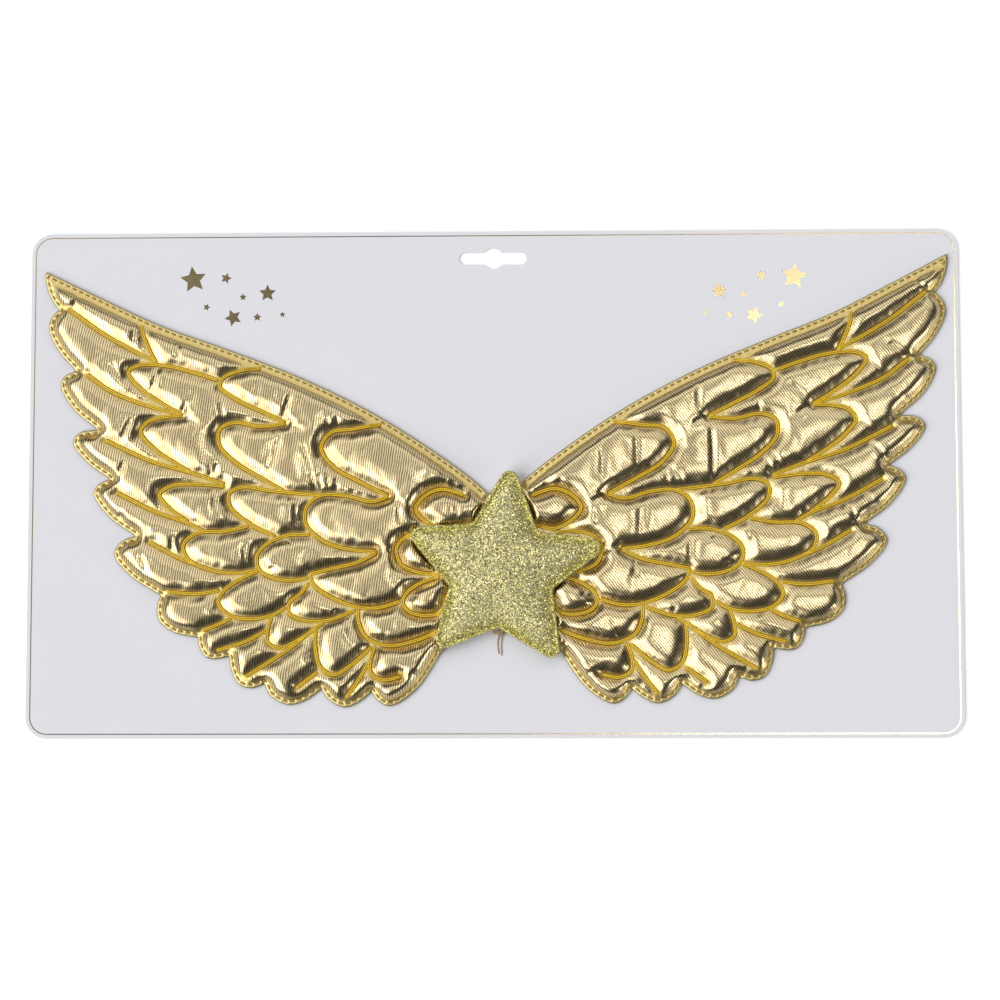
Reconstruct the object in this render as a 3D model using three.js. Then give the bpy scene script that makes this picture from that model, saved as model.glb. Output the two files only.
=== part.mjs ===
// Padded costume wings with a glitter star, lying on the card they are sold on.
// Millimetres. The origin is the middle of the card's back, +X runs along the span,
// +Y towards the hang slot and +Z out of the card's front.

import * as THREE from "three";
import { mergeVertices } from "three/addons/utils/BufferGeometryUtils.js";

// Card
const CARD_WIDTH = 440;
const CARD_HEIGHT = 240;
const CARD_THICKNESS = 0.8;
const CARD_CORNER = 10;
const SLOT_LENGTH = 32;
const SLOT_HEIGHT = 6;
const SLOT_BULGE_RADIUS = 5;
const SLOT_CENTRE_Y = 107;
const LAYER_GAP = 0.3;

// Wings
const RIM_WIDTH = 2;
const RIM_HEIGHT = 1.6;
const SEAM_WIDTH = 1.8;
const SEAM_HEIGHT = 2.8;
const FEATHER_CROWN = 5.6;
const FEATHER_SHOULDER = 8;
const WING_MESH_STEP = 3.5;
const PRESSED_HEIGHT = 4.2;
const PRESSED_MARGIN = 1.2;
const PRESSED_SLOPE = 0.8;

// The left wing is the right one mirrored and sewn on with its upper tip a little lower.
const LEFT_TURN_DEG = -1.84;
const LEFT_PIVOT_FROM = [57, -103];
const LEFT_PIVOT_TO = [48.7, -104];

// Star
const STAR_CENTRE = [4.7, -41.8];
const STAR_TIP_RADIUS = 4.6;
const STAR_VALLEY_RADIUS = 3;
const STAR_EDGE_HEIGHT = 2.2;
const STAR_CROWN = 3.8;
const STAR_SHOULDER = 12;
const STAR_MESH_STEP = 3.6;
const ARC_STEPS = 8;

// The edge of a wing from its root along the top to the long tip.
const LEADING_EDGE = [[4, -9.3], [13.5, 0.3], [32, 15], [62, 35.2], [95, 52.8], [130, 67.8],
  [160, 79.8], [190, 95], [214.8, 108]];

// One row for each feather tip round the outline, from the long tip down to the root.
// A tip starts in the notch of the row above it and runs over its shoulder, point and flank.
const FEATHER_TIPS = [
  { shoulder: [215, 104], point: [213.6, 97.5], flank: [211.4, 92.8], notch: [208.8, 89.5] },
  { shoulder: [212.4, 85.8], point: [213.9, 80], flank: [208.8, 68.7], notch: [201.3, 59.7] },
  { shoulder: [206.9, 57.3], point: [208.8, 53], flank: [203, 41.6], notch: [191.5, 31.2] },
  { shoulder: [199.8, 30.4], point: [203.5, 26], flank: [197, 16], notch: [186.2, 7.5] },
  { shoulder: [191.4, 5.5], point: [194.1, 1], flank: [186.5, -10.9], notch: [174.5, -20] },
  { shoulder: [181, -22], point: [185, -28], flank: [177.5, -38.6], notch: [163.3, -48.5] },
  { shoulder: [165.1, -53], point: [164.2, -60.3], flank: [157.5, -66.1], notch: [146.2, -69] },
  { shoulder: [145.7, -73], point: [142.7, -78.1], flank: [138, -79.4], notch: [131.6, -78.4] },
  { shoulder: [130.9, -84.3], point: [127.3, -91.5], flank: [121.5, -93.6], notch: [115.2, -91.9] },
  { shoulder: [112.8, -97.1], point: [104.5, -101.9], flank: [96.2, -100.3], notch: [88.5, -95.2] },
  { shoulder: [85, -100.4], point: [77.7, -104], flank: [70.5, -101.6], notch: [65, -97.2] },
  { shoulder: [62.3, -101.3], point: [56.4, -104.1], flank: [44.5, -97.4], notch: [30, -81.5] },
];

// The hidden edge beside the middle, from the lowest feather up to the leading edge.
const ROOT_EDGE = [[20, -76.5], [8, -64], [4, -48], [4, -28]];

// The sewn lines that divide a wing into feathers, one row each.
const SEWN_LINES = [
  { line: "root 1", path: [[18.5, -6.5], [23, -4.6], [29.5, -3.2], [37, -6], [41.6, -12],
    [38, -17.4], [29, -22], [21.5, -20.8], [12, -20.3]] },
  { line: "root 2", path: [[30, -24], [38, -23.3], [44.5, -24.3], [49.5, -27.3], [51.3, -31.5],
    [49, -38], [41, -42], [30, -43.5]] },
  { line: "root 3", path: [[31, -43.9], [41, -47.3], [47.2, -51.7], [49, -56], [46, -60.3],
    [38, -62.3], [31, -60.8], [27.4, -52.4]] },
  { line: "inner 1", path: [[56.5, 28.8], [70, 26.9], [80.5, 25.5], [85.3, 18.5], [80, 9.5],
    [67, 1.4], [54.3, -5.6]] },
  { line: "inner 2", path: [[54.3, -5.8], [62, -7.8], [75, -4.5], [86, -4.1], [92.8, -9],
    [93.5, -17.5], [85, -26], [72, -30.2], [60.5, -31.6]] },
  { line: "inner 3 top", path: [[60.7, -32], [70, -36.3], [82, -38.8], [92.6, -41]] },
  { line: "inner 3", path: [[92.6, -41], [90.5, -46.2], [82, -52.5], [70, -57.3], [60, -57.8],
    [50, -55.2]] },
  { line: "inner 4", path: [[70, -57.8], [70, -64], [66.5, -71.6], [56.5, -75.8], [44, -74],
    [31.5, -69.5]] },
  { line: "middle 1", path: [[113, 57.8], [123, 56.5], [131, 53.3], [132.5, 49.3], [125, 43],
    [113, 36.7], [101.8, 31]] },
  { line: "middle 2", path: [[101.8, 30.6], [114, 29.7], [126, 31.9], [133, 29], [133.5, 21.5],
    [126, 13], [114, 5], [103.5, -1.5]] },
  { line: "middle 3", path: [[86, -3.9], [97, -2.7], [110, -0.9], [123, 1.2], [129.2, -1.5],
    [129, -8], [119, -17], [108, -22.7]] },
  { line: "middle 4", path: [[91.5, -22.3], [102, -22.3], [111.5, -25.7], [117, -31.5],
    [116, -38.2], [109, -42.4], [100, -43.6], [93, -42.7]] },
  { line: "middle 5", path: [[92.8, -45], [97, -50.2], [102.2, -54], [102.5, -59], [95, -62.7],
    [84, -62.9], [71, -58.6]] },
  { line: "middle 6", path: [[90.3, -66.5], [90.6, -76], [88.5, -84.8], [82.5, -88.5], [75, -85],
    [64, -76]] },
  { line: "outer 1", path: [[133.3, 52.4], [145, 56.6], [157, 60], [170, 61], [175.8, 58],
    [171, 50.5], [160, 42], [150.6, 36.4]] },
  { line: "outer 2", path: [[150.6, 36.2], [160, 35.7], [167.5, 33.5], [170.6, 29], [165, 21.4],
    [155, 13.8], [147.5, 9.2]] },
  { line: "outer 3", path: [[131.3, 1.8], [144, 3.3], [156, 3.1], [162.4, -0.8], [158, -7.5],
    [149, -14.5]] },
  { line: "outer 4", path: [[120.3, -17.2], [132, -19.3], [145, -19.9], [151.5, -25],
    [150, -31.5], [140, -37], [128, -39.3], [116.5, -38.3]] },
  { line: "outer 5", path: [[116.5, -38.6], [125, -42.2], [133, -47.5], [135.8, -53],
    [131, -58.8], [120, -61.1], [110, -59.5], [104, -56.2]] },
  { line: "outer 6", path: [[110.8, -60.3], [112.8, -66.5], [112.8, -72.5], [107.5, -75.2],
    [99, -72], [86, -63.6]] },
  { line: "outer 7", path: [[62.5, -75.5], [65, -82.5], [64.8, -88.5], [59.5, -91.7],
    [51, -90.5]] },
  { line: "fan 1", path: [[169.2, 80.5], [168.3, 75], [165.5, 67.5], [162.3, 61.3]] },
  { line: "fan 2", path: [[162.6, 62.3], [172.5, 67.6], [188, 77], [204.5, 89.8]] },
  { line: "fan 3", path: [[152.5, 37], [167, 41.5], [184, 48.8], [196, 57.8]] },
  { line: "fan 4", path: [[131.3, 2.8], [147.5, 9], [166, 15.1], [188, 26]] },
  { line: "fan 5", path: [[141.5, -19.3], [149.5, -14.8], [165, -8.7], [183, 1]] },
  { line: "fan 6", path: [[145, -35], [155, -30.6], [168, -23]] },
  { line: "fan 7", path: [[134.8, -47.2], [146, -48.4], [160, -46.9]] },
  { line: "fan 8", path: [[129.5, -60.2], [137, -63.6], [144.3, -66]] },
  { line: "fan 9", path: [[113.3, -66.8], [124, -71.8], [137.3, -75.5]] },
  { line: "fan 10", path: [[90.5, -66.3], [103, -75.7], [124, -88.3]] },
  { line: "fan 11", path: [[89.9, -87], [95, -90.6], [100.2, -94.4]] },
  { line: "fan 12", path: [[66, -83.8], [70, -90.3], [77.3, -100]] },
];

// One row for each of the star's points and the valley that follows it clockwise,
// as the sharp corners before rounding, by angle and reach from the star's centre.
const STAR_POINTS = [
  { tipAngle: 85.3, tipReach: 54.5, valleyAngle: 47.8, valleyReach: 24.7 },
  { tipAngle: 14.3, tipReach: 54.5, valleyAngle: -20.9, valleyReach: 25.2 },
  { tipAngle: -58.1, tipReach: 53.4, valleyAngle: -94.6, valleyReach: 27.2 },
  { tipAngle: -130.5, tipReach: 52, valleyAngle: -162.9, valleyReach: 26.2 },
  { tipAngle: -203.3, tipReach: 52.1, valleyAngle: -237.3, valleyReach: 26.3 },
];

const FINISHES = {
  card: { color: 0xdad9de, roughness: 0.55, metalness: 0 },
  goldCloth: { color: 0xb8965a, roughness: 0.35, metalness: 0.85 },
  glitter: { color: 0xc4c08a, roughness: 0.5, metalness: 0.4 },
};

// Plane curves

const vector = ([x, y]) => new THREE.Vector2(x, y);

/** Points at an even step along a smooth curve through the given points, both ends included. */
function evenCurve(points, step) {
  const spots = points.map(([x, y]) => new THREE.Vector3(x, y, 0));
  const curve = new THREE.CatmullRomCurve3(spots, false, "centripetal");
  const count = Math.max(1, Math.round(curve.getLength() / step));
  return curve.getSpacedPoints(count).map(({ x, y }) => new THREE.Vector2(x, y));
}

/** Points at an even step along the straight lines of a closed polygon. */
function evenPolygon(corners, step) {
  return corners.flatMap((corner, index) => {
    const next = corners[(index + 1) % corners.length];
    const count = Math.max(1, Math.round(corner.distanceTo(next) / step));
    return Array.from({ length: count }, (_, k) => corner.clone().lerp(next, k / count));
  });
}

/** A closed polygon with every corner turned into an arc of its own radius. */
function roundedPolygon(corners) {
  return corners.flatMap(({ at, radius }, index) => {
    const before = corners.at(index - 1).at;
    const after = corners[(index + 1) % corners.length].at;
    const inward = before.clone().sub(at).normalize();
    const outward = after.clone().sub(at).normalize();
    const halfAngle = Math.acos(inward.dot(outward)) / 2;
    const middle = inward.clone().add(outward).normalize();
    const centre = middle.clone().multiplyScalar(radius / Math.sin(halfAngle)).add(at);
    const reach = radius / Math.tan(halfAngle);
    const first = inward.clone().multiplyScalar(reach).add(at).sub(centre);
    const last = outward.clone().multiplyScalar(reach).add(at).sub(centre);
    const turn = Math.atan2(first.cross(last), first.dot(last));
    return Array.from({ length: ARC_STEPS + 1 }, (_, k) =>
      first.clone().rotateAround(new THREE.Vector2(), (turn * k) / ARC_STEPS).add(centre));
  });
}

/** Distance from a point to the nearest segment of a line; a closed line joins its ends. */
function distanceToLine(point, line, closed = false) {
  const segment = new THREE.Line3();
  const target = new THREE.Vector3();
  const spot = new THREE.Vector3(point.x, point.y, 0);
  const last = closed ? line.length : line.length - 1;
  let nearest = Infinity;
  for (let k = 0; k < last; k += 1) {
    const next = line[(k + 1) % line.length];
    segment.start.set(line[k].x, line[k].y, 0);
    segment.end.set(next.x, next.y, 0);
    segment.closestPointToPoint(spot, true, target);
    nearest = Math.min(nearest, spot.distanceTo(target));
  }
  return nearest;
}

/** True where a point lies inside a closed polygon, by counting the edges to its right. */
function insidePolygon(point, polygon) {
  return polygon.reduce((inside, from, index) => {
    const to = polygon[(index + 1) % polygon.length];
    const spans = (from.y > point.y) !== (to.y > point.y);
    const crossing = ((to.x - from.x) * (point.y - from.y)) / (to.y - from.y) + from.x;
    return spans && point.x < crossing ? !inside : inside;
  }, false);
}

// Triangulation

/** The circle through three points, as its centre and squared radius. */
function circumcircle(a, b, c) {
  const ab = b.clone().sub(a);
  const ac = c.clone().sub(a);
  const scale = 2 * ab.cross(ac);
  const x = (ac.y * ab.lengthSq() - ab.y * ac.lengthSq()) / scale;
  const y = (ab.x * ac.lengthSq() - ac.x * ab.lengthSq()) / scale;
  return { centre: new THREE.Vector2(a.x + x, a.y + y), radiusSq: x * x + y * y };
}

/** Delaunay triangles of a set of points, as index triples turned anticlockwise. */
function delaunay(points) {
  const bounds = new THREE.Box2().setFromPoints(points);
  const middle = bounds.getCenter(new THREE.Vector2());
  const far = 20 * bounds.getSize(new THREE.Vector2()).length();
  const count = points.length;
  const all = [...points,
    new THREE.Vector2(middle.x - far, middle.y - far),
    new THREE.Vector2(middle.x + far, middle.y - far),
    new THREE.Vector2(middle.x, middle.y + far)];
  const make = (corners) => ({ corners, ...circumcircle(...corners.map((k) => all[k])) });
  let triangles = [make([count, count + 1, count + 2])];
  points.forEach((point, index) => {
    const hit = (each) => each.centre.distanceToSquared(point) < each.radiusSq;
    const open = new Map();
    triangles.filter(hit).forEach(({ corners: [a, b, c] }) => {
      [[a, b], [b, c], [c, a]].forEach(([from, to]) => {
        const mate = `${to} ${from}`;
        if (!open.delete(mate)) open.set(`${from} ${to}`, [from, to]);
      });
    });
    triangles = triangles.filter((each) => !hit(each));
    open.forEach(([from, to]) => triangles.push(make([from, to, index])));
  });
  return triangles.map(({ corners }) => corners).filter((each) => Math.max(...each) < count);
}

// Padded solids

/** A puff's height above its sewn line at a distance from it: a quarter round, then level. */
function puff(distance, crown, shoulder) {
  const away = 1 - Math.min(Math.max(distance, 0), shoulder) / shoulder;
  return crown * Math.sqrt(1 - away * away);
}

/** Mesh points of a pad: its edge, its sewn lines and a triangular lattice between them. */
function padPoints(edge, lines, step) {
  const points = [...edge];
  const clearOf = (spot, gap) => points.every((each) => each.distanceTo(spot) > gap);
  lines.flat().forEach((spot) => {
    const room = distanceToLine(spot, edge, true) > step / 2;
    if (room && insidePolygon(spot, edge) && clearOf(spot, 0.6 * step)) points.push(spot);
  });
  const sewn = points.length;
  const box = new THREE.Box2().setFromPoints(edge);
  const rise = (step * Math.sqrt(3)) / 2;
  for (let row = 0; box.min.y + row * rise < box.max.y; row += 1) {
    const shift = (row % 2) * 0.5 * step;
    for (let x = box.min.x + shift; x < box.max.x; x += step) {
      const spot = new THREE.Vector2(x, box.min.y + row * rise);
      const free = points.slice(0, sewn).every((each) => each.distanceTo(spot) > 0.75 * step);
      const room = distanceToLine(spot, edge, true) > 0.6 * step;
      if (free && room && insidePolygon(spot, edge)) points.push(spot);
    }
  }
  return points;
}

/** A closed pad with a flat back at z = 0, an upright edge and a front at the given height. */
function padGeometry(edge, lines, step, frontHeight) {
  const points = padPoints(edge, lines, step);
  const middle = ([a, b, c]) =>
    points[a].clone().add(points[b]).add(points[c]).divideScalar(3);
  const front = delaunay(points).filter((each) => insidePolygon(middle(each), edge));
  const back = THREE.ShapeUtils.triangulateShape(edge, []);
  const backStart = points.length;
  const positions = [
    ...points.flatMap((spot) => [spot.x, spot.y, frontHeight(spot)]),
    ...edge.flatMap((spot) => [spot.x, spot.y, 0]),
  ];
  const indices = [
    ...front.flat(),
    ...back.flatMap(([a, b, c]) => [backStart + a, backStart + c, backStart + b]),
    ...edge.flatMap((_, from) => {
      const to = (from + 1) % edge.length;
      return [from, backStart + from, backStart + to, from, backStart + to, to];
    }),
  ];
  const geometry = new THREE.BufferGeometry();
  geometry.setAttribute("position", new THREE.Float32BufferAttribute(positions, 3));
  geometry.setIndex(indices);
  return geometry;
}

// Pieces

/** The star's outline, anticlockwise, with rounded points and valleys. */
function starOutline() {
  const spot = (angle, reach) =>
    vector(STAR_CENTRE).add(new THREE.Vector2(reach, 0).rotateAround(
      new THREE.Vector2(), THREE.MathUtils.degToRad(angle)));
  const corners = STAR_POINTS.flatMap(({ tipAngle, tipReach, valleyAngle, valleyReach }) => [
    { at: spot(tipAngle, tipReach), radius: STAR_TIP_RADIUS },
    { at: spot(valleyAngle, valleyReach), radius: STAR_VALLEY_RADIUS },
  ]);
  return roundedPolygon(corners).reverse();
}

/** A point of the right wing's pattern as it lies on the left wing. */
function toLeft(spot) {
  const turn = THREE.MathUtils.degToRad(LEFT_TURN_DEG);
  const moved = spot.clone().sub(vector(LEFT_PIVOT_FROM))
    .rotateAround(new THREE.Vector2(), turn).add(vector(LEFT_PIVOT_TO));
  return new THREE.Vector2(-moved.x, moved.y);
}

/** A wing's outline, anticlockwise on the right side: root, leading edge and feather tips. */
function wingOutline() {
  const lowest = FEATHER_TIPS.at(-1).notch;
  const parts = [evenCurve([lowest, ...ROOT_EDGE, LEADING_EDGE[0]], WING_MESH_STEP),
    evenCurve(LEADING_EDGE, WING_MESH_STEP)];
  let start = LEADING_EDGE.at(-1);
  FEATHER_TIPS.forEach(({ shoulder, point, flank, notch }) => {
    parts.push(evenCurve([start, shoulder, point, flank, notch], WING_MESH_STEP));
    start = notch;
  });
  return parts.flatMap((part) => part.slice(0, -1)).reverse();
}

/** One quilted wing, pressed flat where the star is sewn over it. */
function wingGeometry(onLeft) {
  const place = onLeft ? toLeft : (spot) => spot;
  const edge = wingOutline().map(place);
  if (onLeft) edge.reverse();
  const lines = SEWN_LINES.map(({ path }) => evenCurve(path, WING_MESH_STEP).map(place));
  const star = starOutline();
  return padGeometry(edge, lines, WING_MESH_STEP, (spot) => {
    const fromEdge = distanceToLine(spot, edge, true) - RIM_WIDTH;
    const fromSeam = Math.min(...lines.map((line) => distanceToLine(spot, line))) - SEAM_WIDTH / 2;
    const fromStar = insidePolygon(spot, star) ? 0 : distanceToLine(spot, star, true);
    const pressed = PRESSED_HEIGHT + PRESSED_SLOPE * Math.max(0, fromStar - PRESSED_MARGIN);
    return Math.min(
      RIM_HEIGHT + puff(fromEdge, FEATHER_CROWN, FEATHER_SHOULDER),
      SEAM_HEIGHT + puff(fromSeam, FEATHER_CROWN, FEATHER_SHOULDER),
      pressed);
  });
}

/** The padded star. */
function starGeometry() {
  const edge = evenPolygon(starOutline(), STAR_MESH_STEP);
  return padGeometry(edge, [], STAR_MESH_STEP, (spot) =>
    STAR_EDGE_HEIGHT + puff(distanceToLine(spot, edge, true), STAR_CROWN, STAR_SHOULDER));
}

/** The hang slot: a long slot with round ends and a wider round place in its middle. */
function slotPath() {
  const half = SLOT_HEIGHT / 2;
  const end = SLOT_LENGTH / 2 - half;
  const meet = Math.asin(half / SLOT_BULGE_RADIUS);
  const path = new THREE.Path();
  path.absarc(end, SLOT_CENTRE_Y, half, -Math.PI / 2, Math.PI / 2);
  path.absarc(0, SLOT_CENTRE_Y, SLOT_BULGE_RADIUS, meet, Math.PI - meet);
  path.absarc(-end, SLOT_CENTRE_Y, half, Math.PI / 2, (3 * Math.PI) / 2);
  path.absarc(0, SLOT_CENTRE_Y, SLOT_BULGE_RADIUS, Math.PI + meet, 2 * Math.PI - meet);
  path.closePath();
  return path;
}

/** The flat card with rounded corners and its hang slot. */
function cardGeometry() {
  const x = CARD_WIDTH / 2 - CARD_CORNER;
  const y = CARD_HEIGHT / 2 - CARD_CORNER;
  const shape = new THREE.Shape();
  [[x, -y, -1], [x, y, 0], [-x, y, 1], [-x, -y, 2]].forEach(([cx, cy, quarter]) => {
    const from = (quarter * Math.PI) / 2;
    shape.absarc(cx, cy, CARD_CORNER, from, from + Math.PI / 2);
  });
  shape.closePath();
  shape.holes.push(slotPath());
  const geometry = new THREE.ExtrudeGeometry(shape, {
    depth: CARD_THICKNESS,
    bevelEnabled: false,
    curveSegments: ARC_STEPS,
  });
  geometry.deleteAttribute("normal");
  geometry.deleteAttribute("uv");
  return mergeVertices(geometry);
}

/** A named sub-part at its height above the card's back. */
function piece(name, geometry, finish, height) {
  geometry.computeVertexNormals();
  const mesh = new THREE.Mesh(geometry, new THREE.MeshStandardMaterial(finish));
  mesh.name = name;
  mesh.position.z = height;
  return mesh;
}

const wingBack = CARD_THICKNESS + LAYER_GAP;
const starBack = wingBack + PRESSED_HEIGHT + LAYER_GAP;

const costumeWings = new THREE.Group();
costumeWings.add(
  piece("card", cardGeometry(), FINISHES.card, 0),
  piece("right_wing", wingGeometry(false), FINISHES.goldCloth, wingBack),
  piece("left_wing", wingGeometry(true), FINISHES.goldCloth, wingBack),
  piece("star", starGeometry(), FINISHES.glitter, starBack),
);

export default costumeWings;
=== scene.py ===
"""Padded costume wings in gold cloth with a glitter star, lying on their card: the looks.

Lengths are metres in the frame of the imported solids. The origin is the middle of the card's back,
+X runs along the span, +Y towards the hang slot and +Z out of the card's front.
"""

import logging
from dataclasses import dataclass
from enum import Enum
from functools import cached_property
from math import pi, radians

import bpy
import numpy as np
from mathutils.geometry import delaunay_2d_cdt
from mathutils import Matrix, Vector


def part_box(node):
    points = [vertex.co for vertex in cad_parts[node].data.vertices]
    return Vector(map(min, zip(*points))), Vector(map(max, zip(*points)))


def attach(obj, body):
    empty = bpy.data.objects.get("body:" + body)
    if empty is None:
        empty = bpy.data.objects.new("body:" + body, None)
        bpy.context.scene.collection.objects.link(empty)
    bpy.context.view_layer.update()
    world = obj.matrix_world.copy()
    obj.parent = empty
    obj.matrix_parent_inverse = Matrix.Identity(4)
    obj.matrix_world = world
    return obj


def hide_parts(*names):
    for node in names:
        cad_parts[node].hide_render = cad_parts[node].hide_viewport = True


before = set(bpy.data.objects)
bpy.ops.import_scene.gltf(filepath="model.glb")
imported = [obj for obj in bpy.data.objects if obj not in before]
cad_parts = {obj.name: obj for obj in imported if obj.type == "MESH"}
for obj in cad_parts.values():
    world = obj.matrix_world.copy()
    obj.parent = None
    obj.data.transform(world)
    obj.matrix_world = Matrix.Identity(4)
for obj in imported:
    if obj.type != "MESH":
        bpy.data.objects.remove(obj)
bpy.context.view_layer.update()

log = logging.getLogger("costume_wings")
Array = np.ndarray

MM = 0.001
BODY = "root"

# The distance between the points of finely sampled lines, and of loops that are moved inwards.
FINE_STEP = 0.3 * MM
LOOP_STEP = 0.2 * MM

# Points of an inset loop that come closer to the loop than this share of the gap are left out.
INSET_CLEAR = 0.96

# How the triangulation fills a loop: the inside alone, with points nearer than this made one.
FILL_INSIDE = 1
FILL_NEAR = 1e-6

# A fold's section: the height of its shoulders over its depth and their place in half widths.
FOLD_SHOULDER = 0.3
FOLD_SHOULDER_PLACE = 2.2

# The power of the sine that fades a fold towards its ends.
FOLD_FADE = 0.6

# The least divisor, and the least share of the filling that is taken as still missing.
TINY = 1e-12
LEAST_MISSING = 1e-6

# Sewn lines with more points than this go round the end of a feather.
STRAIGHT_POINTS = 4

# The edge of a wing from its root along the top to the long tip.
LEADING_EDGE = MM * np.array([
    [4, -9.3], [13.5, 0.3], [32, 15], [62, 35.2], [95, 52.8], [130, 67.8], [160, 79.8], [190, 95],
    [214.8, 108]])

# One row for each feather tip from the long tip down to the root: shoulder, point, flank, notch.
FEATHER_TIPS = MM * np.array([
    [[215, 104], [213.6, 97.5], [211.4, 92.8], [208.8, 89.5]],
    [[212.4, 85.8], [213.9, 80], [208.8, 68.7], [201.3, 59.7]],
    [[206.9, 57.3], [208.8, 53], [203, 41.6], [191.5, 31.2]],
    [[199.8, 30.4], [203.5, 26], [197, 16], [186.2, 7.5]],
    [[191.4, 5.5], [194.1, 1], [186.5, -10.9], [174.5, -20]],
    [[181, -22], [185, -28], [177.5, -38.6], [163.3, -48.5]],
    [[165.1, -53], [164.2, -60.3], [157.5, -66.1], [146.2, -69]],
    [[145.7, -73], [142.7, -78.1], [138, -79.4], [131.6, -78.4]],
    [[130.9, -84.3], [127.3, -91.5], [121.5, -93.6], [115.2, -91.9]],
    [[112.8, -97.1], [104.5, -101.9], [96.2, -100.3], [88.5, -95.2]],
    [[85, -100.4], [77.7, -104], [70.5, -101.6], [65, -97.2]],
    [[62.3, -101.3], [56.4, -104.1], [44.5, -97.4], [31, -79]],
])

# The hidden edge beside the middle, from the lowest feather up to the leading edge.
ROOT_EDGE = MM * np.array([[20, -71], [8, -61], [4, -48], [4, -28]])

# The sewn lines that divide a wing into feathers, in millimetres.
SEWN_LINES = {
    "root 1": [[18.5, -6.5], [23, -4.6], [29.5, -3.2], [37, -6], [41.6, -12], [38, -17.4],
               [29, -22], [21.5, -20.8], [12, -20.3]],
    "root 2": [[30, -24], [38, -23.3], [44.5, -24.3], [49.5, -27.3], [51.3, -31.5], [49, -38],
               [41, -42], [30, -43.5]],
    "root 3": [[31, -43.9], [41, -47.3], [47.2, -51.7], [49, -56], [46, -60.3], [38, -62.3],
               [31, -60.8], [27.4, -52.4]],
    "inner 1": [[56.5, 28.8], [70, 26.9], [80.5, 25.5], [85.3, 18.5], [80, 9.5], [67, 1.4],
                [54.3, -5.6]],
    "inner 2": [[54.3, -5.8], [62, -7.8], [75, -4.5], [86, -4.1], [92.8, -9], [93.5, -17.5],
                [85, -26], [72, -30.2], [60.5, -31.6]],
    "inner 3 top": [[60.7, -32], [70, -36.3], [82, -38.8], [92.6, -41]],
    "inner 3": [[92.6, -41], [90.5, -46.2], [82, -52.5], [70, -57.3], [60, -57.8], [50, -55.2]],
    "inner 4": [[70, -57.8], [70, -64], [66.5, -71.6], [56.5, -75.8], [44, -74], [31.5, -69.5]],
    "middle 1": [[113, 57.8], [123, 56.5], [131, 53.3], [132.5, 49.3], [125, 43], [113, 36.7],
                 [101.8, 31]],
    "middle 2": [[101.8, 30.6], [114, 29.7], [126, 31.9], [133, 29], [133.5, 21.5], [126, 13],
                 [114, 5], [103.5, -1.5]],
    "middle 3": [[86, -3.9], [97, -2.7], [110, -0.9], [123, 1.2], [129.2, -1.5], [129, -8],
                 [119, -17], [108, -22.7]],
    "middle 4": [[91.5, -22.3], [102, -22.3], [111.5, -25.7], [117, -31.5], [116, -38.2],
                 [109, -42.4], [100, -43.6], [93, -42.7]],
    "middle 5": [[92.8, -45], [97, -50.2], [102.2, -54], [102.5, -59], [95, -62.7], [84, -62.9],
                 [71, -58.6]],
    "middle 6": [[90.3, -66.5], [90.6, -76], [88.5, -84.8], [82.5, -88.5], [75, -85], [64, -76]],
    "outer 1": [[133.3, 52.4], [145, 56.6], [157, 60], [170, 61], [175.8, 58], [171, 50.5],
                [160, 42], [150.6, 36.4]],
    "outer 2": [[150.6, 36.2], [160, 35.7], [167.5, 33.5], [170.6, 29], [165, 21.4], [155, 13.8],
                [147.5, 9.2]],
    "outer 3": [[131.3, 1.8], [144, 3.3], [156, 3.1], [162.4, -0.8], [158, -7.5], [149, -14.5]],
    "outer 4": [[120.3, -17.2], [132, -19.3], [145, -19.9], [151.5, -25], [150, -31.5],
                [140, -37], [128, -39.3], [116.5, -38.3]],
    "outer 5": [[116.5, -38.6], [125, -42.2], [133, -47.5], [135.8, -53], [131, -58.8],
                [120, -61.1], [110, -59.5], [104, -56.2]],
    "outer 6": [[110.8, -60.3], [112.8, -66.5], [112.8, -72.5], [107.5, -75.2], [99, -72],
                [86, -63.6]],
    "outer 7": [[62.5, -75.5], [65, -82.5], [64.8, -88.5], [59.5, -91.7], [51, -90.5]],
    "fan 1": [[169.2, 80.5], [168.3, 75], [165.5, 67.5], [162.3, 61.3]],
    "fan 2": [[162.6, 62.3], [172.5, 67.6], [188, 77], [204.5, 89.8]],
    "fan 3": [[152.5, 37], [167, 41.5], [184, 48.8], [196, 57.8]],
    "fan 4": [[131.3, 2.8], [147.5, 9], [166, 15.1], [188, 26]],
    "fan 5": [[141.5, -19.3], [149.5, -14.8], [165, -8.7], [183, 1]],
    "fan 6": [[145, -35], [155, -30.6], [168, -23]],
    "fan 7": [[134.8, -47.2], [146, -48.4], [160, -46.9]],
    "fan 8": [[129.5, -60.2], [137, -63.6], [144.3, -66]],
    "fan 9": [[113.3, -66.8], [124, -71.8], [137.3, -75.5]],
    "fan 10": [[90.5, -66.3], [103, -75.7], [124, -88.3]],
    "fan 11": [[89.9, -87], [95, -90.6], [100.2, -94.4]],
    "fan 12": [[66, -83.8], [70, -90.3], [77.3, -100]],
}

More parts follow.
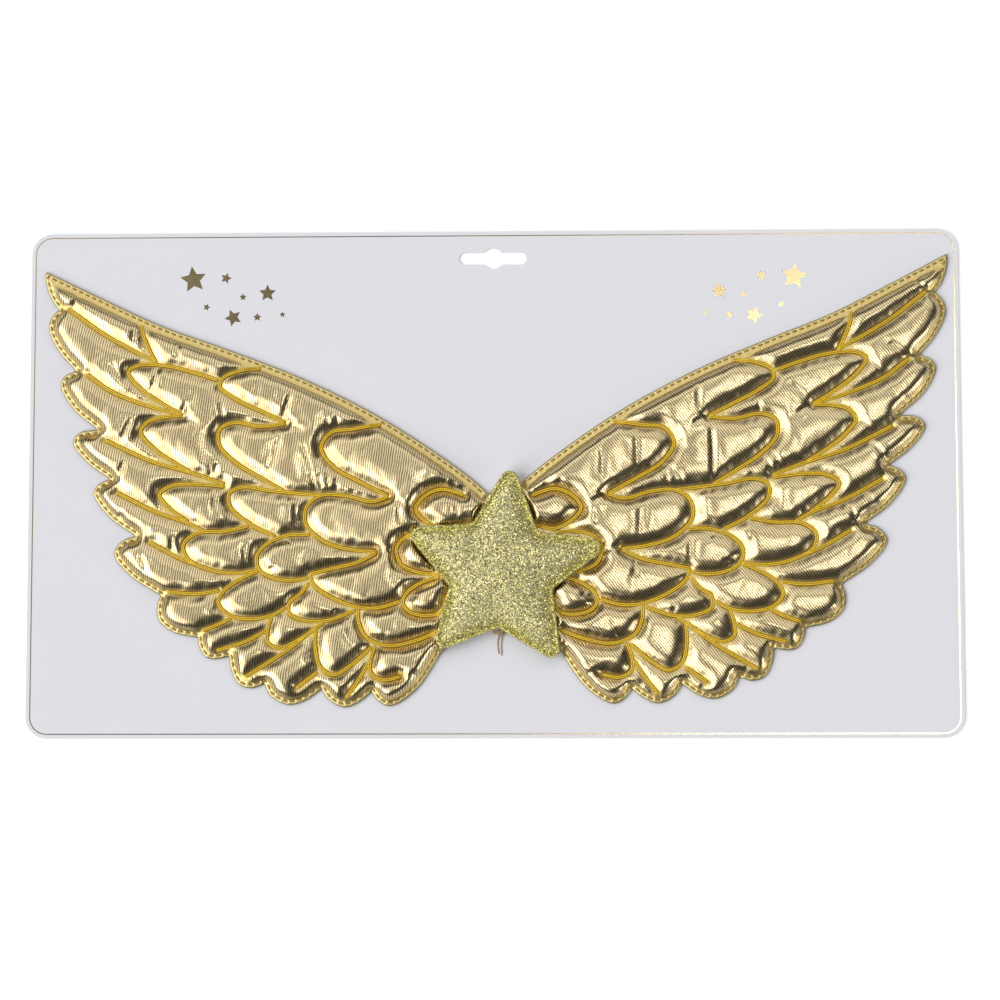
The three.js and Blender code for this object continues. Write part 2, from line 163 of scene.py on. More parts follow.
# The folds that the sewing pulls into each wing's cloth, in millimetres as they lie on the card.
# Columns: start x, start y, end x, end y, how far the middle bows to the left, depth.
RIGHT_FOLDS = MM * np.array([
    [24.5, 5, 25, -1.5, 0, 0.8], [27, 4.5, 27.5, -1, 0, 0.8], [31, 1.5, 33, -2, 0, 0.6],
    [50.5, 19, 51.5, -1, 0.6, 0.6], [67, 26.5, 67.5, 3, 0.5, 0.8], [47.5, -9, 49.5, -22, 0.4, 0.5],
    [80.5, 8.5, 82.5, -0.5, 0, 0.8], [83.5, 8, 86.5, 0, 0, 0.9], [86.5, 6, 89.5, -1, 0, 0.7],
    [86.5, 29, 93, 9, -1, 0.5], [102.3, 30.5, 103.3, -0.5, 0.6, 1.7], [97.3, 49, 97.8, 32, -0.8, 1.1],
    [68.8, -6, 68.6, -27, 0.3, 0.9], [71.8, -6.5, 71.6, -25, -0.3, 0.8], [67, -36, 66.5, -45, 0, 0.8],
    [52.5, -30.5, 60, -31.5, 0, 0.8], [96.8, -6, 97.2, -18, 0.8, 0.8], [92.2, -24, 92.3, -39, 0.3, 0.8],
    [139, 46, 149, 36.5, 0.8, 1.3], [128, 12, 131, 2.5, 0.3, 1.1], [131.5, 14, 134.5, 7, 0, 0.7],
    [124.5, 38, 126, 32.5, 0, 0.7], [177, 18.5, 185.5, 9.5, 0.4, 1.3], [186, 65.5, 198, 58.5, -0.5, 1.3],
    [197, 97.5, 204, 90, 0.3, 1.3], [171.5, 30.5, 178, 23.5, 0.3, 0.8], [176, 60, 182.5, 51.5, 0.3, 0.8],
    [167, -12, 170, -20, 0.4, 1.1], [175, -6, 179, -10.5, 0, 0.6], [70.5, -60, 70, -71, 0.6, 0.7],
    [69, -79, 78, -91, 0, 0.6], [92, -69.5, 97, -78, 0, 0.7], [120, -23, 121.5, -36, 0.6, 0.6],
    [132.5, -2, 133.5, -14, 0.8, 0.6], [153.5, -21, 155, -29, 0.4, 0.6]])
LEFT_FOLDS = MM * np.array([
    [-30, 12, -27, 6, 0, 0.8], [-24, 8.5, -21.5, 2, 0, 0.8], [-19, 4.5, -18, -2, 0, 0.8],
    [-14, 0.5, -13, -6, 0, 0.7], [-17.5, -5, -17, -19.5, 0.4, 0.8], [-45, -9, -44, -20, 0.5, 0.6],
    [-48.5, -33, -44, -44, 0.8, 0.8], [-99.5, 26, -106, 5, 0.5, 0.7], [-90.5, 20, -85.5, 4, 0.5, 0.8],
    [-86, 5, -83, -3, 0, 0.8], [-82, 4.5, -80.5, -3.5, 0, 0.8], [-78.5, 5, -77, -2, 0, 0.7],
    [-74, 3.5, -73.5, -3, 0, 0.6], [-74, 32, -73, 27.5, 0, 0.6], [-79, 31, -77, 27, 0, 0.6],
    [-68.5, -62.5, -65, -75, -0.6, 0.7], [-88, -70, -86.5, -84, 0.5, 0.7],
    [-60.5, -79, -66, -92, 0.4, 0.6], [-92.5, -8, -92, -20, -0.8, 0.7],
    [-197.5, 91, -200, 81.5, 0.3, 1.2], [-195, 90.5, -197.5, 82, 0, 0.8],
    [-158.6, 55.5, -162.2, 43, 0.6, 1.4], [-144.5, 38, -149.5, 31, 0.4, 1.2],
    [-95.2, 43.5, -100, 29, 0.5, 1.5], [-173, 12.5, -179, 0.5, 0.5, 1.4],
    [-129.5, 9.5, -132.5, 3, 0.3, 1.0], [-133.5, 9, -133, 3, 0, 0.7], [-129, 42, -127.5, 31, 0, 0.7],
    [-171, 31, -176, 20, 0.4, 0.8], [-181, 58, -177, 50, 0, 0.6],
    [-176.5, -12.5, -173.5, -18.5, 0, 0.9], [-163.5, -21.5, -162.5, -30, 0.3, 0.7],
    [-166.5, -33, -163, -43, 0.4, 0.6], [-130.5, -3, -130, -14, -0.8, 0.6],
    [-151, -25, -150, -34, -0.6, 0.6], [-116, -29, -116, -38, -0.6, 0.6],
    [-132.5, -52, -132, -59, -0.4, 0.6], [-171, 74.5, -170, 67.5, 0, 0.7],
    [-150, 68, -149, 60, 0, 0.6]])

# One row for each of the star's points and the valley that follows it clockwise, as sharp corners:
# the tip's angle in degrees and reach in millimetres, then the valley's.
STAR_POINTS = np.array([
    [85.3, 53.4, 47.8, 24.7],
    [14.3, 55.1, -20.9, 25.2],
    [-58.1, 53.4, -94.6, 27.2],
    [-130.5, 52, -162.9, 26.2],
    [-203.3, 52.1, -237.3, 26.3],
])
STAR_CENTRE = MM * np.array([4.7, -41.8])


class Side(Enum):
    """Which wing it is, seen from the front of the card."""

    RIGHT = "right"
    LEFT = "left"


# Curves and distances on the plane

def even_spacing(path: Array, step: float, closed: bool = False) -> Array:
    """Places points at an even distance along a polyline.

    Args:
        path: Corners of the line, one row each, in two or three dimensions.
        step: The distance wanted between points.
        closed: True where the last corner joins the first; the result then doesn't repeat it.

    Returns:
        The new points, by linear interpolation over the line's running length.
    """
    line = np.vstack([path, path[:1]]) if closed else path
    run = np.concatenate([[0.0], np.cumsum(np.linalg.norm(np.diff(line, axis=0), axis=1))])
    count = max(1, round(run[-1] / step))
    places = np.linspace(0.0, run[-1], count + 1)
    if closed:
        places = places[:-1]
    return np.column_stack([np.interp(places, run, line[:, axis]) for axis in range(line.shape[1])])


def smooth_curve(points: Array, step: float, samples: int = 24) -> Array:
    """Places points evenly along a centripetal Catmull-Rom curve through the given points.

    Each span is a cubic Hermite whose end slopes come from the root of the distances between its
    four neighbours, so the curve has no loops.

    Args:
        points: The points that the curve runs through.
        step: The distance wanted between the new points.
        samples: Fine samples taken in each span before they are spaced evenly.

    Returns:
        The new points, both ends included.
    """
    spots = np.asarray(points, float)
    padded = np.vstack([2 * spots[0] - spots[1], spots, 2 * spots[-1] - spots[-2]])
    gap = np.sqrt(np.linalg.norm(np.diff(padded, axis=0), axis=1))[:, None]
    before, start, end, after = padded[:-3], padded[1:-2], padded[2:-1], padded[3:]
    first, middle, last = gap[:-2], gap[1:-1], gap[2:]
    leave = (start - before) / first - (end - before) / (first + middle) + (end - start) / middle
    arrive = (end - start) / middle - (after - start) / (middle + last) + (after - end) / last
    t = np.linspace(0.0, 1.0, samples, endpoint=False)[None, :, None]
    fine = ((2 * t**3 - 3 * t**2 + 1) * start[:, None]
            + (t**3 - 2 * t**2 + t) * (leave * middle)[:, None]
            + (3 * t**2 - 2 * t**3) * end[:, None]
            + (t**3 - t**2) * (arrive * middle)[:, None])
    return even_spacing(np.vstack([fine.reshape(-1, spots.shape[1]), spots[-1]]), step)


def nearest_distance(points: Array, targets: Array, batch: int = 1000) -> Array:
    """Finds how far each point is from the nearest of the target points, in batches of rows.

    The square of a distance is the target's square less twice the product of the two places, plus
    the point's own square, which is added after the least is found.
    """
    squares = (targets**2).sum(axis=1)
    least = [(squares[None] - 2 * part @ targets.T).min(axis=1)
             for part in np.array_split(points, max(1, len(points) // batch))]
    return np.sqrt(np.maximum(np.concatenate(least) + (points**2).sum(axis=1), 0.0))


def inside_loop(points: Array, loop: Array, batch: int = 4000) -> Array:
    """Tells which points lie inside a closed loop, by counting the edges to the right of each."""
    from_x, from_y = loop.T
    to_x, to_y = np.roll(loop, -1, axis=0).T
    rise = np.where(to_y == from_y, TINY, to_y - from_y)
    found = []
    for part in np.array_split(points, max(1, len(points) // batch)):
        x, y = part[:, :1], part[:, 1:2]
        spans = (from_y > y) != (to_y > y)
        crossing = (to_x - from_x) * (y - from_y) / rise + from_x
        found.append((spans & (x < crossing)).sum(axis=1) % 2 == 1)
    return np.concatenate(found)


def edge_distance(points: Array, edge: Array) -> Array:
    """Finds how far points are from a closed edge, by fine samples of it."""
    return nearest_distance(points, even_spacing(edge, FINE_STEP, closed=True))


def smoothstep(value: Array) -> Array:
    """Eases from 0 to 1 with level ends: three squares less two cubes of the clamped value."""
    t = np.clip(value, 0.0, 1.0)
    return t * t * (3 - 2 * t)


def turned(points: Array, angle: float) -> Array:
    """Turns plane points anticlockwise about the origin by an angle in radians."""
    cosine, sine = np.cos(angle), np.sin(angle)
    return points @ np.array([[cosine, sine], [-sine, cosine]])


def anticlockwise(loop: Array) -> Array:
    """Returns the closed loop in anticlockwise order, by the sign of its area."""
    x, y = loop.T
    area = np.sum(x * np.roll(y, -1) - y * np.roll(x, -1))
    return loop if area > 0 else loop[::-1]


def tangents(path: Array, closed: bool) -> Array:
    """Unit directions along a line, each from the point before to the point after."""
    if closed:
        along = np.roll(path, -1, axis=0) - np.roll(path, 1, axis=0)
    else:
        along = np.gradient(path, axis=0)
    return along / np.maximum(np.linalg.norm(along, axis=1, keepdims=True), TINY)


def sideways(path: Array, closed: bool = False) -> Array:
    """Unit directions to the left of a plane line at each of its points."""
    along = tangents(path, closed)
    return np.column_stack([-along[:, 1], along[:, 0]])


def inset_loop(loop: Array, gap: float, step: float) -> Array:
    """Moves an anticlockwise loop inwards along its normals.

    Points that come closer than the gap to another stretch of the loop are left out, which removes
    the crossings at narrow tips.

    Args:
        loop: The closed loop.
        gap: How far inside the new loop runs.
        step: The distance wanted between its points.

    Returns:
        The new closed loop.
    """
    inner = loop + gap * sideways(loop, closed=True)
    clear = nearest_distance(inner, even_spacing(loop, LOOP_STEP, closed=True)) > INSET_CLEAR * gap
    return even_spacing(inner[clear], step, closed=True)


def rounded_polygon(corners: Array, radii: Array, arc_steps: int = 8) -> Array:
    """Turns every corner of a closed polygon into an arc of its own radius.

    The arc's centre lies on the corner's bisector, radius over the sine of the half angle away, and
    its start vector is turned in even steps to its end vector.

    Args:
        corners: The sharp corners in order.
        radii: The radius of each corner's arc.
        arc_steps: Straight steps in each arc.

    Returns:
        The rounded loop.
    """
    def unit(rows: Array) -> Array:
        return rows / np.linalg.norm(rows, axis=1, keepdims=True)

    back = unit(np.roll(corners, 1, axis=0) - corners)
    ahead = unit(np.roll(corners, -1, axis=0) - corners)
    half = np.arccos((back * ahead).sum(axis=1)) / 2
    centre = corners + unit(back + ahead) * (radii / np.sin(half))[:, None]
    reach = (radii / np.tan(half))[:, None]
    first = corners + back * reach - centre
    last = corners + ahead * reach - centre
    turn = np.arctan2(first[:, 0] * last[:, 1] - first[:, 1] * last[:, 0], (first * last).sum(axis=1))
    angle = turn[:, None] * np.linspace(0.0, 1.0, arc_steps + 1)[None]
    x = first[:, :1] * np.cos(angle) - first[:, 1:] * np.sin(angle) + centre[:, :1]
    y = first[:, :1] * np.sin(angle) + first[:, 1:] * np.cos(angle) + centre[:, 1:]
    return np.column_stack([x.ravel(), y.ravel()])


# Meshes

def ring_quads(rows: int, columns: int) -> Array:
    """Quads of a tube: rows of closed rings, joined ring to ring."""
    row, column = np.meshgrid(np.arange(rows - 1), np.arange(columns), indexing="ij")
    beside = (column + 1) % columns
    quads = np.stack([row * columns + column, row * columns + beside,
                      (row + 1) * columns + beside, (row + 1) * columns + column], axis=-1)
    return quads.reshape(-1, 4)


def tube_faces(rows: int, columns: int, start: int = 0, count: int = 1) -> list:
    """Faces of tubes of one size, one after the other, each with a face over both its ends.

    Args:
        rows: Rings in a tube.
        columns: Vertices in a ring.
        start: The first tube's first vertex.
        count: How many tubes there are.

    Returns:
        The vertex numbers of each face: all sides, then the first ends, then the last ones.
    """
    starts = start + rows * columns * np.arange(count)
    walls = (starts[:, None, None] + ring_quads(rows, columns)[None]).reshape(-1, 4)
    first = starts[:, None] + np.arange(columns)[::-1]
    last = starts[:, None] + (rows - 1) * columns + np.arange(columns)
    return walls.tolist() + first.tolist() + last.tolist()


def fill_loop(spots: Array, edge_count: int) -> Array:
    """Joins points into triangles inside the loop of the first of them, by Delaunay's rule.

    Args:
        spots: Points on the plane, with the loop's points first and anticlockwise.
        edge_count: How many points make the loop.

    Returns:
        The triangles as rows of point numbers.
    """
    loop = list(range(edge_count))
    made = delaunay_2d_cdt((spots / MM).tolist(), [], [loop], FILL_INSIDE, FILL_NEAR)
    origin = np.array([sources[0] for sources in made[3]])
    return origin[np.array(made[2])]


def raised(flat: Array, height: Array) -> Array:
    """Rows of places in space from plane points and the heights that go with them."""
    level = np.broadcast_to(height, flat.shape[:-1])
    return np.concatenate([flat, level[..., None]], axis=-1).reshape(-1, 3)


def run_places(run: Array, turn: Array) -> Array:
    """Rows of UV places from the run along threads and the turn around them."""
    return np.stack(np.broadcast_arrays(run, turn), axis=-1).reshape(-1, 2)


def make_piece(name: str, vertices: Array, faces: list, material: bpy.types.Material,
               smooth: bool = True) -> bpy.types.Object:
    """Makes a mesh object at the origin that rides on the part's body.

    Args:
        name: The piece's name.
        vertices: Vertex places in metres.
        faces: Vertex numbers of each face.
        material: The piece's finish.
        smooth: True for smooth shading.

    Returns:
        The new object.
    """
    mesh = bpy.data.meshes.new(name)
    mesh.from_pydata(vertices.tolist(), [], faces)
    mesh.polygons.foreach_set("use_smooth", np.full(len(mesh.polygons), smooth))
    mesh.materials.append(material)
    mesh.update()
    piece = bpy.data.objects.new(name, mesh)
    bpy.context.scene.collection.objects.link(piece)
    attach(piece, BODY)
    log.info("%s: %d vertices, %d faces", name, len(vertices), len(faces))
    return piece


def set_uv(piece: bpy.types.Object, name: str, places: Array) -> None:
    """Gives a piece a UV map from one place for each of its vertices."""
    mesh = piece.data
    corner = np.empty(len(mesh.loops), np.int32)
    mesh.loops.foreach_get("vertex_index", corner)
    layer = mesh.uv_layers.new(name=name)
    layer.uv.foreach_set("vector", places[corner].astype(np.float32).ravel())


def set_attribute(piece: bpy.types.Object, name: str, values: Array) -> None:
    """Gives a piece a number for each of its vertices, for its material to read."""
    attribute = piece.data.attributes.new(name, "FLOAT", "POINT")
    attribute.data.foreach_set("value", values.astype(np.float32))


def subdivide(piece: bpy.types.Object, levels: int = 1) -> None:
    """Adds a Subdivision Surface with the same level in the view and the render."""
    modifier = piece.modifiers.new("smooth", "SUBSURF")
    modifier.levels = levels
    modifier.render_levels = levels


# Padded cloth

@dataclass(frozen=True)
class PuffRecipe:
    """How a pad's front cloth is blown up between its sewn lines, on an enlarged copy."""

    spare_cloth: float = 0.002
    pressure: float = 1.0
    tension: float = 60.0
    shear: float = 20.0
    bending: float = 2.0
    frames: int = 24
    enlarge: float = 10.0
    vertex_mass: float = 0.01
    air_damping: float = 2.0
    quality: int = 5


@dataclass
class PadFront:
    """The flat front of a pad, as a triangle mesh whose points follow its sewn lines."""

    spots: Array
    triangles: Array
    edge_count: int
    step: float

    # Shares of the step: line points that come closer than the first to points before them are
    # left out, and so are lattice points that come closer than the second to the lines.
    CROWDING = 0.42
    LATTICE_GAP = 0.75

    @classmethod
    def cut(cls, outline: Array, lines: list[Array], step: float) -> "PadFront":
        """Fills an outline with triangles whose corners follow the sewn lines.

        The points are the outline's, then the lines', then a triangular lattice that keeps clear
        of both, joined by a Delaunay triangulation inside the outline.

        Args:
            outline: The closed edge, anticlockwise.
            lines: The lines inside it, with points a step apart, the most important first.
            step: The mesh's edge length.

        Returns:
            The flat front.
        """
        fixed = outline
        for line in lines:
            within = line[inside_loop(line, outline)]
            fixed = np.vstack([fixed, within[nearest_distance(within, fixed) > cls.CROWDING * step]])
        low, high = outline.min(axis=0), outline.max(axis=0)
        rise = step * np.sqrt(3) / 2
        row, column = np.meshgrid(np.arange((high[1] - low[1]) / rise),
                                  np.arange((high[0] - low[0]) / step), indexing="ij")
        lattice = np.column_stack([(low[0] + step * (column + 0.5 * (row % 2))).ravel(),
                                   (low[1] + rise * row).ravel()])
        lattice = lattice[inside_loop(lattice, outline)]
        lattice = lattice[nearest_distance(lattice, fixed) > cls.LATTICE_GAP * step]
        spots = np.vstack([fixed, lattice])
        return cls(spots, fill_loop(spots, len(outline)), len(outline), step)

    @cached_property
    def edges(self) -> Array:
        """The mesh's edges, each once, as pairs of point numbers."""
        sides = np.vstack([self.triangles[:, [0, 1]], self.triangles[:, [1, 2]],
                           self.triangles[:, [2, 0]]])
        return np.unique(np.sort(sides, axis=1), axis=0)

    def neighbour_mean(self, values: Array) -> Array:
        """The mean of the values at each point's neighbours along the edges."""
        first, second = self.edges.T
        total = np.zeros_like(values)
        np.add.at(total, first, values[second])
        np.add.at(total, second, values[first])
        count = np.bincount(self.edges.ravel(), minlength=len(values))
        return total / count.reshape(-1, *[1] * (values.ndim - 1))

    def relax(self, places: Array, held: Array, rounds: int) -> Array:
        """Moves each free point half way to the mean of its neighbours, several times over."""
        eased = places.copy()
        for _ in range(rounds):
            eased[~held] = (0.5 * eased + 0.5 * self.neighbour_mean(eased))[~held]
        return eased

    def filling(self, held: Array, crown: float, reach: float, rounds: int = 120) -> Array:
        """The height of the filling under the cloth: level puffs that roll down to held points.

        It settles where the surface's bend times the reach squared equals the height missing from
        the crown: each free point moves to the mean of its neighbours, drawn towards the crown.

        Args:
            held: True for points at height nought.
            crown: The height of a wide puff.
            reach: How far from the held points a puff has two thirds of its height.
            rounds: How often the points move.

        Returns:
            The height at each point.
        """
        draw = (self.step / (2 * reach)) ** 2
        height = np.where(held, 0.0, crown)
        for _ in range(rounds):
            height = np.where(held, 0.0, (self.neighbour_mean(height) + draw * crown) / (1 + draw))
        return height

    def blow_up(self, places: Array, held: Array, recipe: PuffRecipe) -> Array:
        """Runs Blender's cloth on the front, blown up by pressure and held at its sewn points.

        Args:
            places: Where the points start.
            held: True for points that stay where they are.
            recipe: The cloth's settings.

        Returns:
            Where the points come to rest.
        """
        scene = bpy.context.scene
        mesh = bpy.data.meshes.new("blown_front")
        mesh.from_pydata((places * recipe.enlarge).tolist(), [], self.triangles.tolist())
        sheet = bpy.data.objects.new("blown_front", mesh)
        scene.collection.objects.link(sheet)
        group = sheet.vertex_groups.new(name="sewn")
        group.add(np.flatnonzero(held).tolist(), 1.0, "REPLACE")
        cloth = sheet.modifiers.new("cloth", "CLOTH")
        cloth.settings.quality = recipe.quality
        cloth.settings.mass = recipe.vertex_mass
        cloth.settings.air_damping = recipe.air_damping
        cloth.settings.tension_stiffness = recipe.tension
        cloth.settings.compression_stiffness = recipe.tension
        cloth.settings.shear_stiffness = recipe.shear
        cloth.settings.bending_stiffness = recipe.bending
        cloth.settings.shrink_min = -recipe.spare_cloth
        cloth.settings.use_pressure = True
        cloth.settings.uniform_pressure_force = recipe.pressure
        cloth.settings.vertex_group_mass = group.name
        cloth.settings.effector_weights.gravity = 0.0
        cloth.collision_settings.use_collision = False
        cloth.point_cache.frame_start = 1
        cloth.point_cache.frame_end = recipe.frames
        for step in range(1, recipe.frames + 1):
            scene.frame_set(step)
        blown = sheet.evaluated_get(bpy.context.evaluated_depsgraph_get()).data
        moved = np.empty(3 * len(places), np.float32)
        blown.vertices.foreach_get("co", moved)
        bpy.data.objects.remove(sheet)
        bpy.data.meshes.remove(mesh)
        scene.frame_set(1)
        return moved.reshape(-1, 3).astype(float) / recipe.enlarge

    def closed_body(self, front: Array, back_height: float) -> tuple[Array, list]:
        """Closes a front with an upright edge and a flat back.

        Args:
            front: The front's points in space.
            back_height: The height of the flat back.

        Returns:
            The vertices, with the back's edge after the front's points, and the faces.
        """
        edge = np.arange(self.edge_count)
        rim = front[: self.edge_count].copy()
        rim[:, 2] = back_height
        below = edge + len(front)
        walls = np.column_stack([edge, below, np.roll(below, -1), np.roll(edge, -1)])
        under = len(front) + fill_loop(rim[:, :2], self.edge_count)[:, ::-1]
        return np.vstack([front, rim]), self.triangles.tolist() + walls.tolist() + under.tolist()

    def with_back(self, values: Array) -> Array:
        """Values at the front's points, with the edge's once more for the back."""
        return np.concatenate([values, values[: self.edge_count]])


def round_shoulder(share: Array, reach: float, width: float) -> Array:
    """Turns a filling's share of its crown into level puffs with round shoulders.

    A share falls off with the exponent of the distance over the reach, so its logarithm gives an
    even distance from the sewn lines. The shoulder is a parabola over that distance, level from
    its width on.

    Args:
        share: The filling's height over its crown.
        reach: The reach that the filling was worked out with.
        width: How wide the shoulder is.

    Returns:
        The new share at each point, from 0 to 1.
    """
    inwards = -reach * np.log(np.maximum(1 - share, LEAST_MISSING))
    return 1 - (1 - np.minimum(inwards / width, 1.0)) ** 2


def fold_lines(folds: Array, step: float) -> list[Array]:
    """The bottoms of folds as lines with points a step apart: chords bowed at the middle."""
    start, end, bow = folds[:, :2], folds[:, 2:4], folds[:, 4:5]
    chord = end - start
    left = np.column_stack([-chord[:, 1], chord[:, 0]]) / np.linalg.norm(chord, axis=1, keepdims=True)
    middle = (start + end) / 2 + bow * left
    return [smooth_curve(np.vstack(row), step) for row in zip(start, middle, end)]


def fold_depth(spots: Array, folds: Array, width: float) -> Array:
    """How deep folds press the cloth at points, less the low shoulders that they push up.

    Across a fold the depth is a bell curve with a low bell on each side, and along it a power of the
    sine of the run, so that it fades at both ends.

    Args:
        spots: Points on the plane.
        folds: One row for each fold, with the columns of the fold tables.
        width: The half width of a fold.

    Returns:
        The depth at each point, summed over the folds.
    """
    start, end = folds[:, None, :2], folds[:, None, 2:4]
    bow, deep = folds[:, None, 4], folds[:, None, 5]
    chord = end - start
    span = np.linalg.norm(chord, axis=2, keepdims=True)
    left = np.stack([-chord[..., 1], chord[..., 0]], axis=2) / span
    run = np.clip(((spots[None] - start) * chord).sum(axis=2) / span[..., 0] ** 2, 0.0, 1.0)
    bottom = start + run[..., None] * chord + (4 * bow * run * (1 - run))[..., None] * left
    away = np.linalg.norm(spots[None] - bottom, axis=2) / width
    across = np.exp(-away**2) - FOLD_SHOULDER * np.exp(-(away - FOLD_SHOULDER_PLACE) ** 2)
    return (deep * np.sin(pi * run) ** FOLD_FADE * across).sum(axis=0)


def crumples(spots: Array, lengths: tuple[float, float], waves: int, seed: int) -> Array:
    """Small uneven waves in cloth: a sum of plane waves, each with its own drawn direction.

    Args:
        spots: Points on the plane.
        lengths: The shortest and longest wave.
        waves: How many waves are added up.
        seed: The start of the random draws.

    Returns:
        The height at each point, with a mean square of one.
    """
    draw = np.random.default_rng(seed)
    angle, phase = 2 * pi * draw.random((2, waves))
    pace = 2 * pi / draw.uniform(*lengths, waves)
    run = spots @ np.stack([np.cos(angle), np.sin(angle)])
    return np.sin(run * pace + phase).sum(axis=1) / np.sqrt(waves / 2)


# Shader nodes

def linear(code: str) -> tuple[float, float, float, float]:
    """Turns a six-digit screen colour into linear light, by the sRGB curve."""
    value = np.array([int(code[k:k + 2], 16) for k in (0, 2, 4)]) / 255
    light = np.where(value <= 0.04045, value / 12.92, ((value + 0.055) / 1.055) ** 2.4)
    return (*light.tolist(), 1.0)


class NodeBench:
    """Adds nodes to one shader tree and wires them up."""

    def __init__(self, tree: bpy.types.NodeTree) -> None:
        """Starts with an empty tree."""
        self.tree = tree
        tree.nodes.clear()

    def add(self, kind: str, inputs: dict | None = None, **settings: object) -> bpy.types.Node:
        """Adds a node.

        Args:
            kind: The node's type.
            inputs: What goes into its sockets, by name or number: a socket to link or a value.
            **settings: The node's own properties.

        Returns:
            The node.
        """
        node = self.tree.nodes.new(kind)
        for name, value in settings.items():
            setattr(node, name, value)
        for key, value in (inputs or {}).items():
            if isinstance(value, bpy.types.NodeSocket):
                self.tree.links.new(value, node.inputs[key])
            else:
                node.inputs[key].default_value = value
        return node

    def math(self, operation: str, *values: object, clamp: bool = False) -> bpy.types.NodeSocket:
        """Adds a Math node and returns its result."""
        node = self.add("ShaderNodeMath", dict(enumerate(values)), operation=operation, use_clamp=clamp)
        return node.outputs[0]

    def fade(self, value: object, low: float, high: float) -> bpy.types.NodeSocket:
        """Maps a value to 0 at low and 1 at high, with eased ends."""
        node = self.add("ShaderNodeMapRange", {"Value": value, "From Min": low, "From Max": high},
                        interpolation_type="SMOOTHSTEP")
        return node.outputs["Result"]

    def mix(self, factor: object, first: object, second: object) -> bpy.types.NodeSocket:
        """Mixes two colours by a factor."""
        node = self.add("ShaderNodeMix", {0: factor, 6: first, 7: second}, data_type="RGBA")
        return node.outputs[2]

    def noise(self, vector: object, scale: float, detail: float = 2.0) -> bpy.types.NodeSocket:
        """Adds a Noise Texture and returns its value."""
        node = self.add("ShaderNodeTexNoise", {"Vector": vector, "Scale": scale, "Detail": detail})
        return node.outputs["Fac"]

    def finish(self, **inputs: object) -> None:
        """Adds the Principled shader with these inputs, by name with spaces as underscores."""
        wired = {name.replace("_", " "): value for name, value in inputs.items()}
        shader = self.add("ShaderNodeBsdfPrincipled", wired)
        self.add("ShaderNodeOutputMaterial", {"Surface": shader.outputs["BSDF"]})


def new_material(name: str) -> tuple[bpy.types.Material, NodeBench]:
    """Makes an empty node material and the bench to fill it."""
    material = bpy.data.materials.new(name)
    material.use_nodes = True
    return material, NodeBench(material.node_tree)


class NodeEffect:
    """A shader node group with number inputs and one number that varies over a surface."""

    NAME = ""
    INPUTS: tuple[str, ...] = ()
    OUTPUT = ""

    @classmethod
    def fill(cls, bench: NodeBench, wanted: bpy.types.NodeOutputs) -> bpy.types.NodeSocket:
        """Adds the group's nodes, fed by its inputs, and returns the result's socket."""
        raise NotImplementedError

    @classmethod
    def group(cls) -> bpy.types.NodeTree:
        """Returns the group, made the first time it is asked for."""
        made = bpy.data.node_groups.get(cls.NAME)
        if made:
            return made
        tree = bpy.data.node_groups.new(cls.NAME, "ShaderNodeTree")
        for name in cls.INPUTS:
            tree.interface.new_socket(name, in_out="INPUT", socket_type="NodeSocketFloat")
        tree.interface.new_socket(cls.OUTPUT, in_out="OUTPUT", socket_type="NodeSocketFloat")
        bench = NodeBench(tree)
        result = cls.fill(bench, bench.add("NodeGroupInput").outputs)
        bench.add("NodeGroupOutput", {cls.OUTPUT: result})
        return tree

    @classmethod
    def placed(cls, bench: NodeBench, *values: float) -> bpy.types.NodeSocket:
        """Places the group in a material with a value for each input and returns its result."""
        node = bench.add("ShaderNodeGroup", dict(zip(cls.INPUTS, values)), node_tree=cls.group())
        return node.outputs[cls.OUTPUT]


class Mottle(NodeEffect):
    """Uneven tone, about a half on average: broad and fine noise on the piece's own coordinates."""

    NAME = "mottle"
    INPUTS = ("Broad Scale", "Fine Scale")
    OUTPUT = "Tone"

    @classmethod
    def fill(cls, bench: NodeBench, wanted: bpy.types.NodeOutputs) -> bpy.types.NodeSocket:
        """Adds up half of each noise."""
        place = bench.add("ShaderNodeTexCoord").outputs["Object"]
        broad, fine = (bench.noise(place, wanted[name]) for name in cls.INPUTS)
        return bench.math("MULTIPLY_ADD", fine, 0.5, bench.math("MULTIPLY", broad, 0.5))


class ThreadTwist(NodeEffect):
    """Slanted fibres on a thread, from 0 to 1, on a UV map with millimetres along it."""

    NAME = "thread_twist"
    INPUTS = ("Pitch",)
    OUTPUT = "Fibre"

    @classmethod
    def fill(cls, bench: NodeBench, wanted: bpy.types.NodeOutputs) -> bpy.types.NodeSocket:
        """Adds a sine of the run over the pitch plus the turn around the thread."""
        place = bench.add("ShaderNodeUVMap", uv_map="run")
        split = bench.add("ShaderNodeSeparateXYZ", {0: place.outputs["UV"]})
        run = bench.math("DIVIDE", split.outputs["X"], wanted["Pitch"])
        phase = bench.math("MULTIPLY", bench.math("ADD", run, split.outputs["Y"]), 2 * pi)
        return bench.math("MULTIPLY_ADD", bench.math("SINE", phase), 0.5, 0.5)


# Finishes

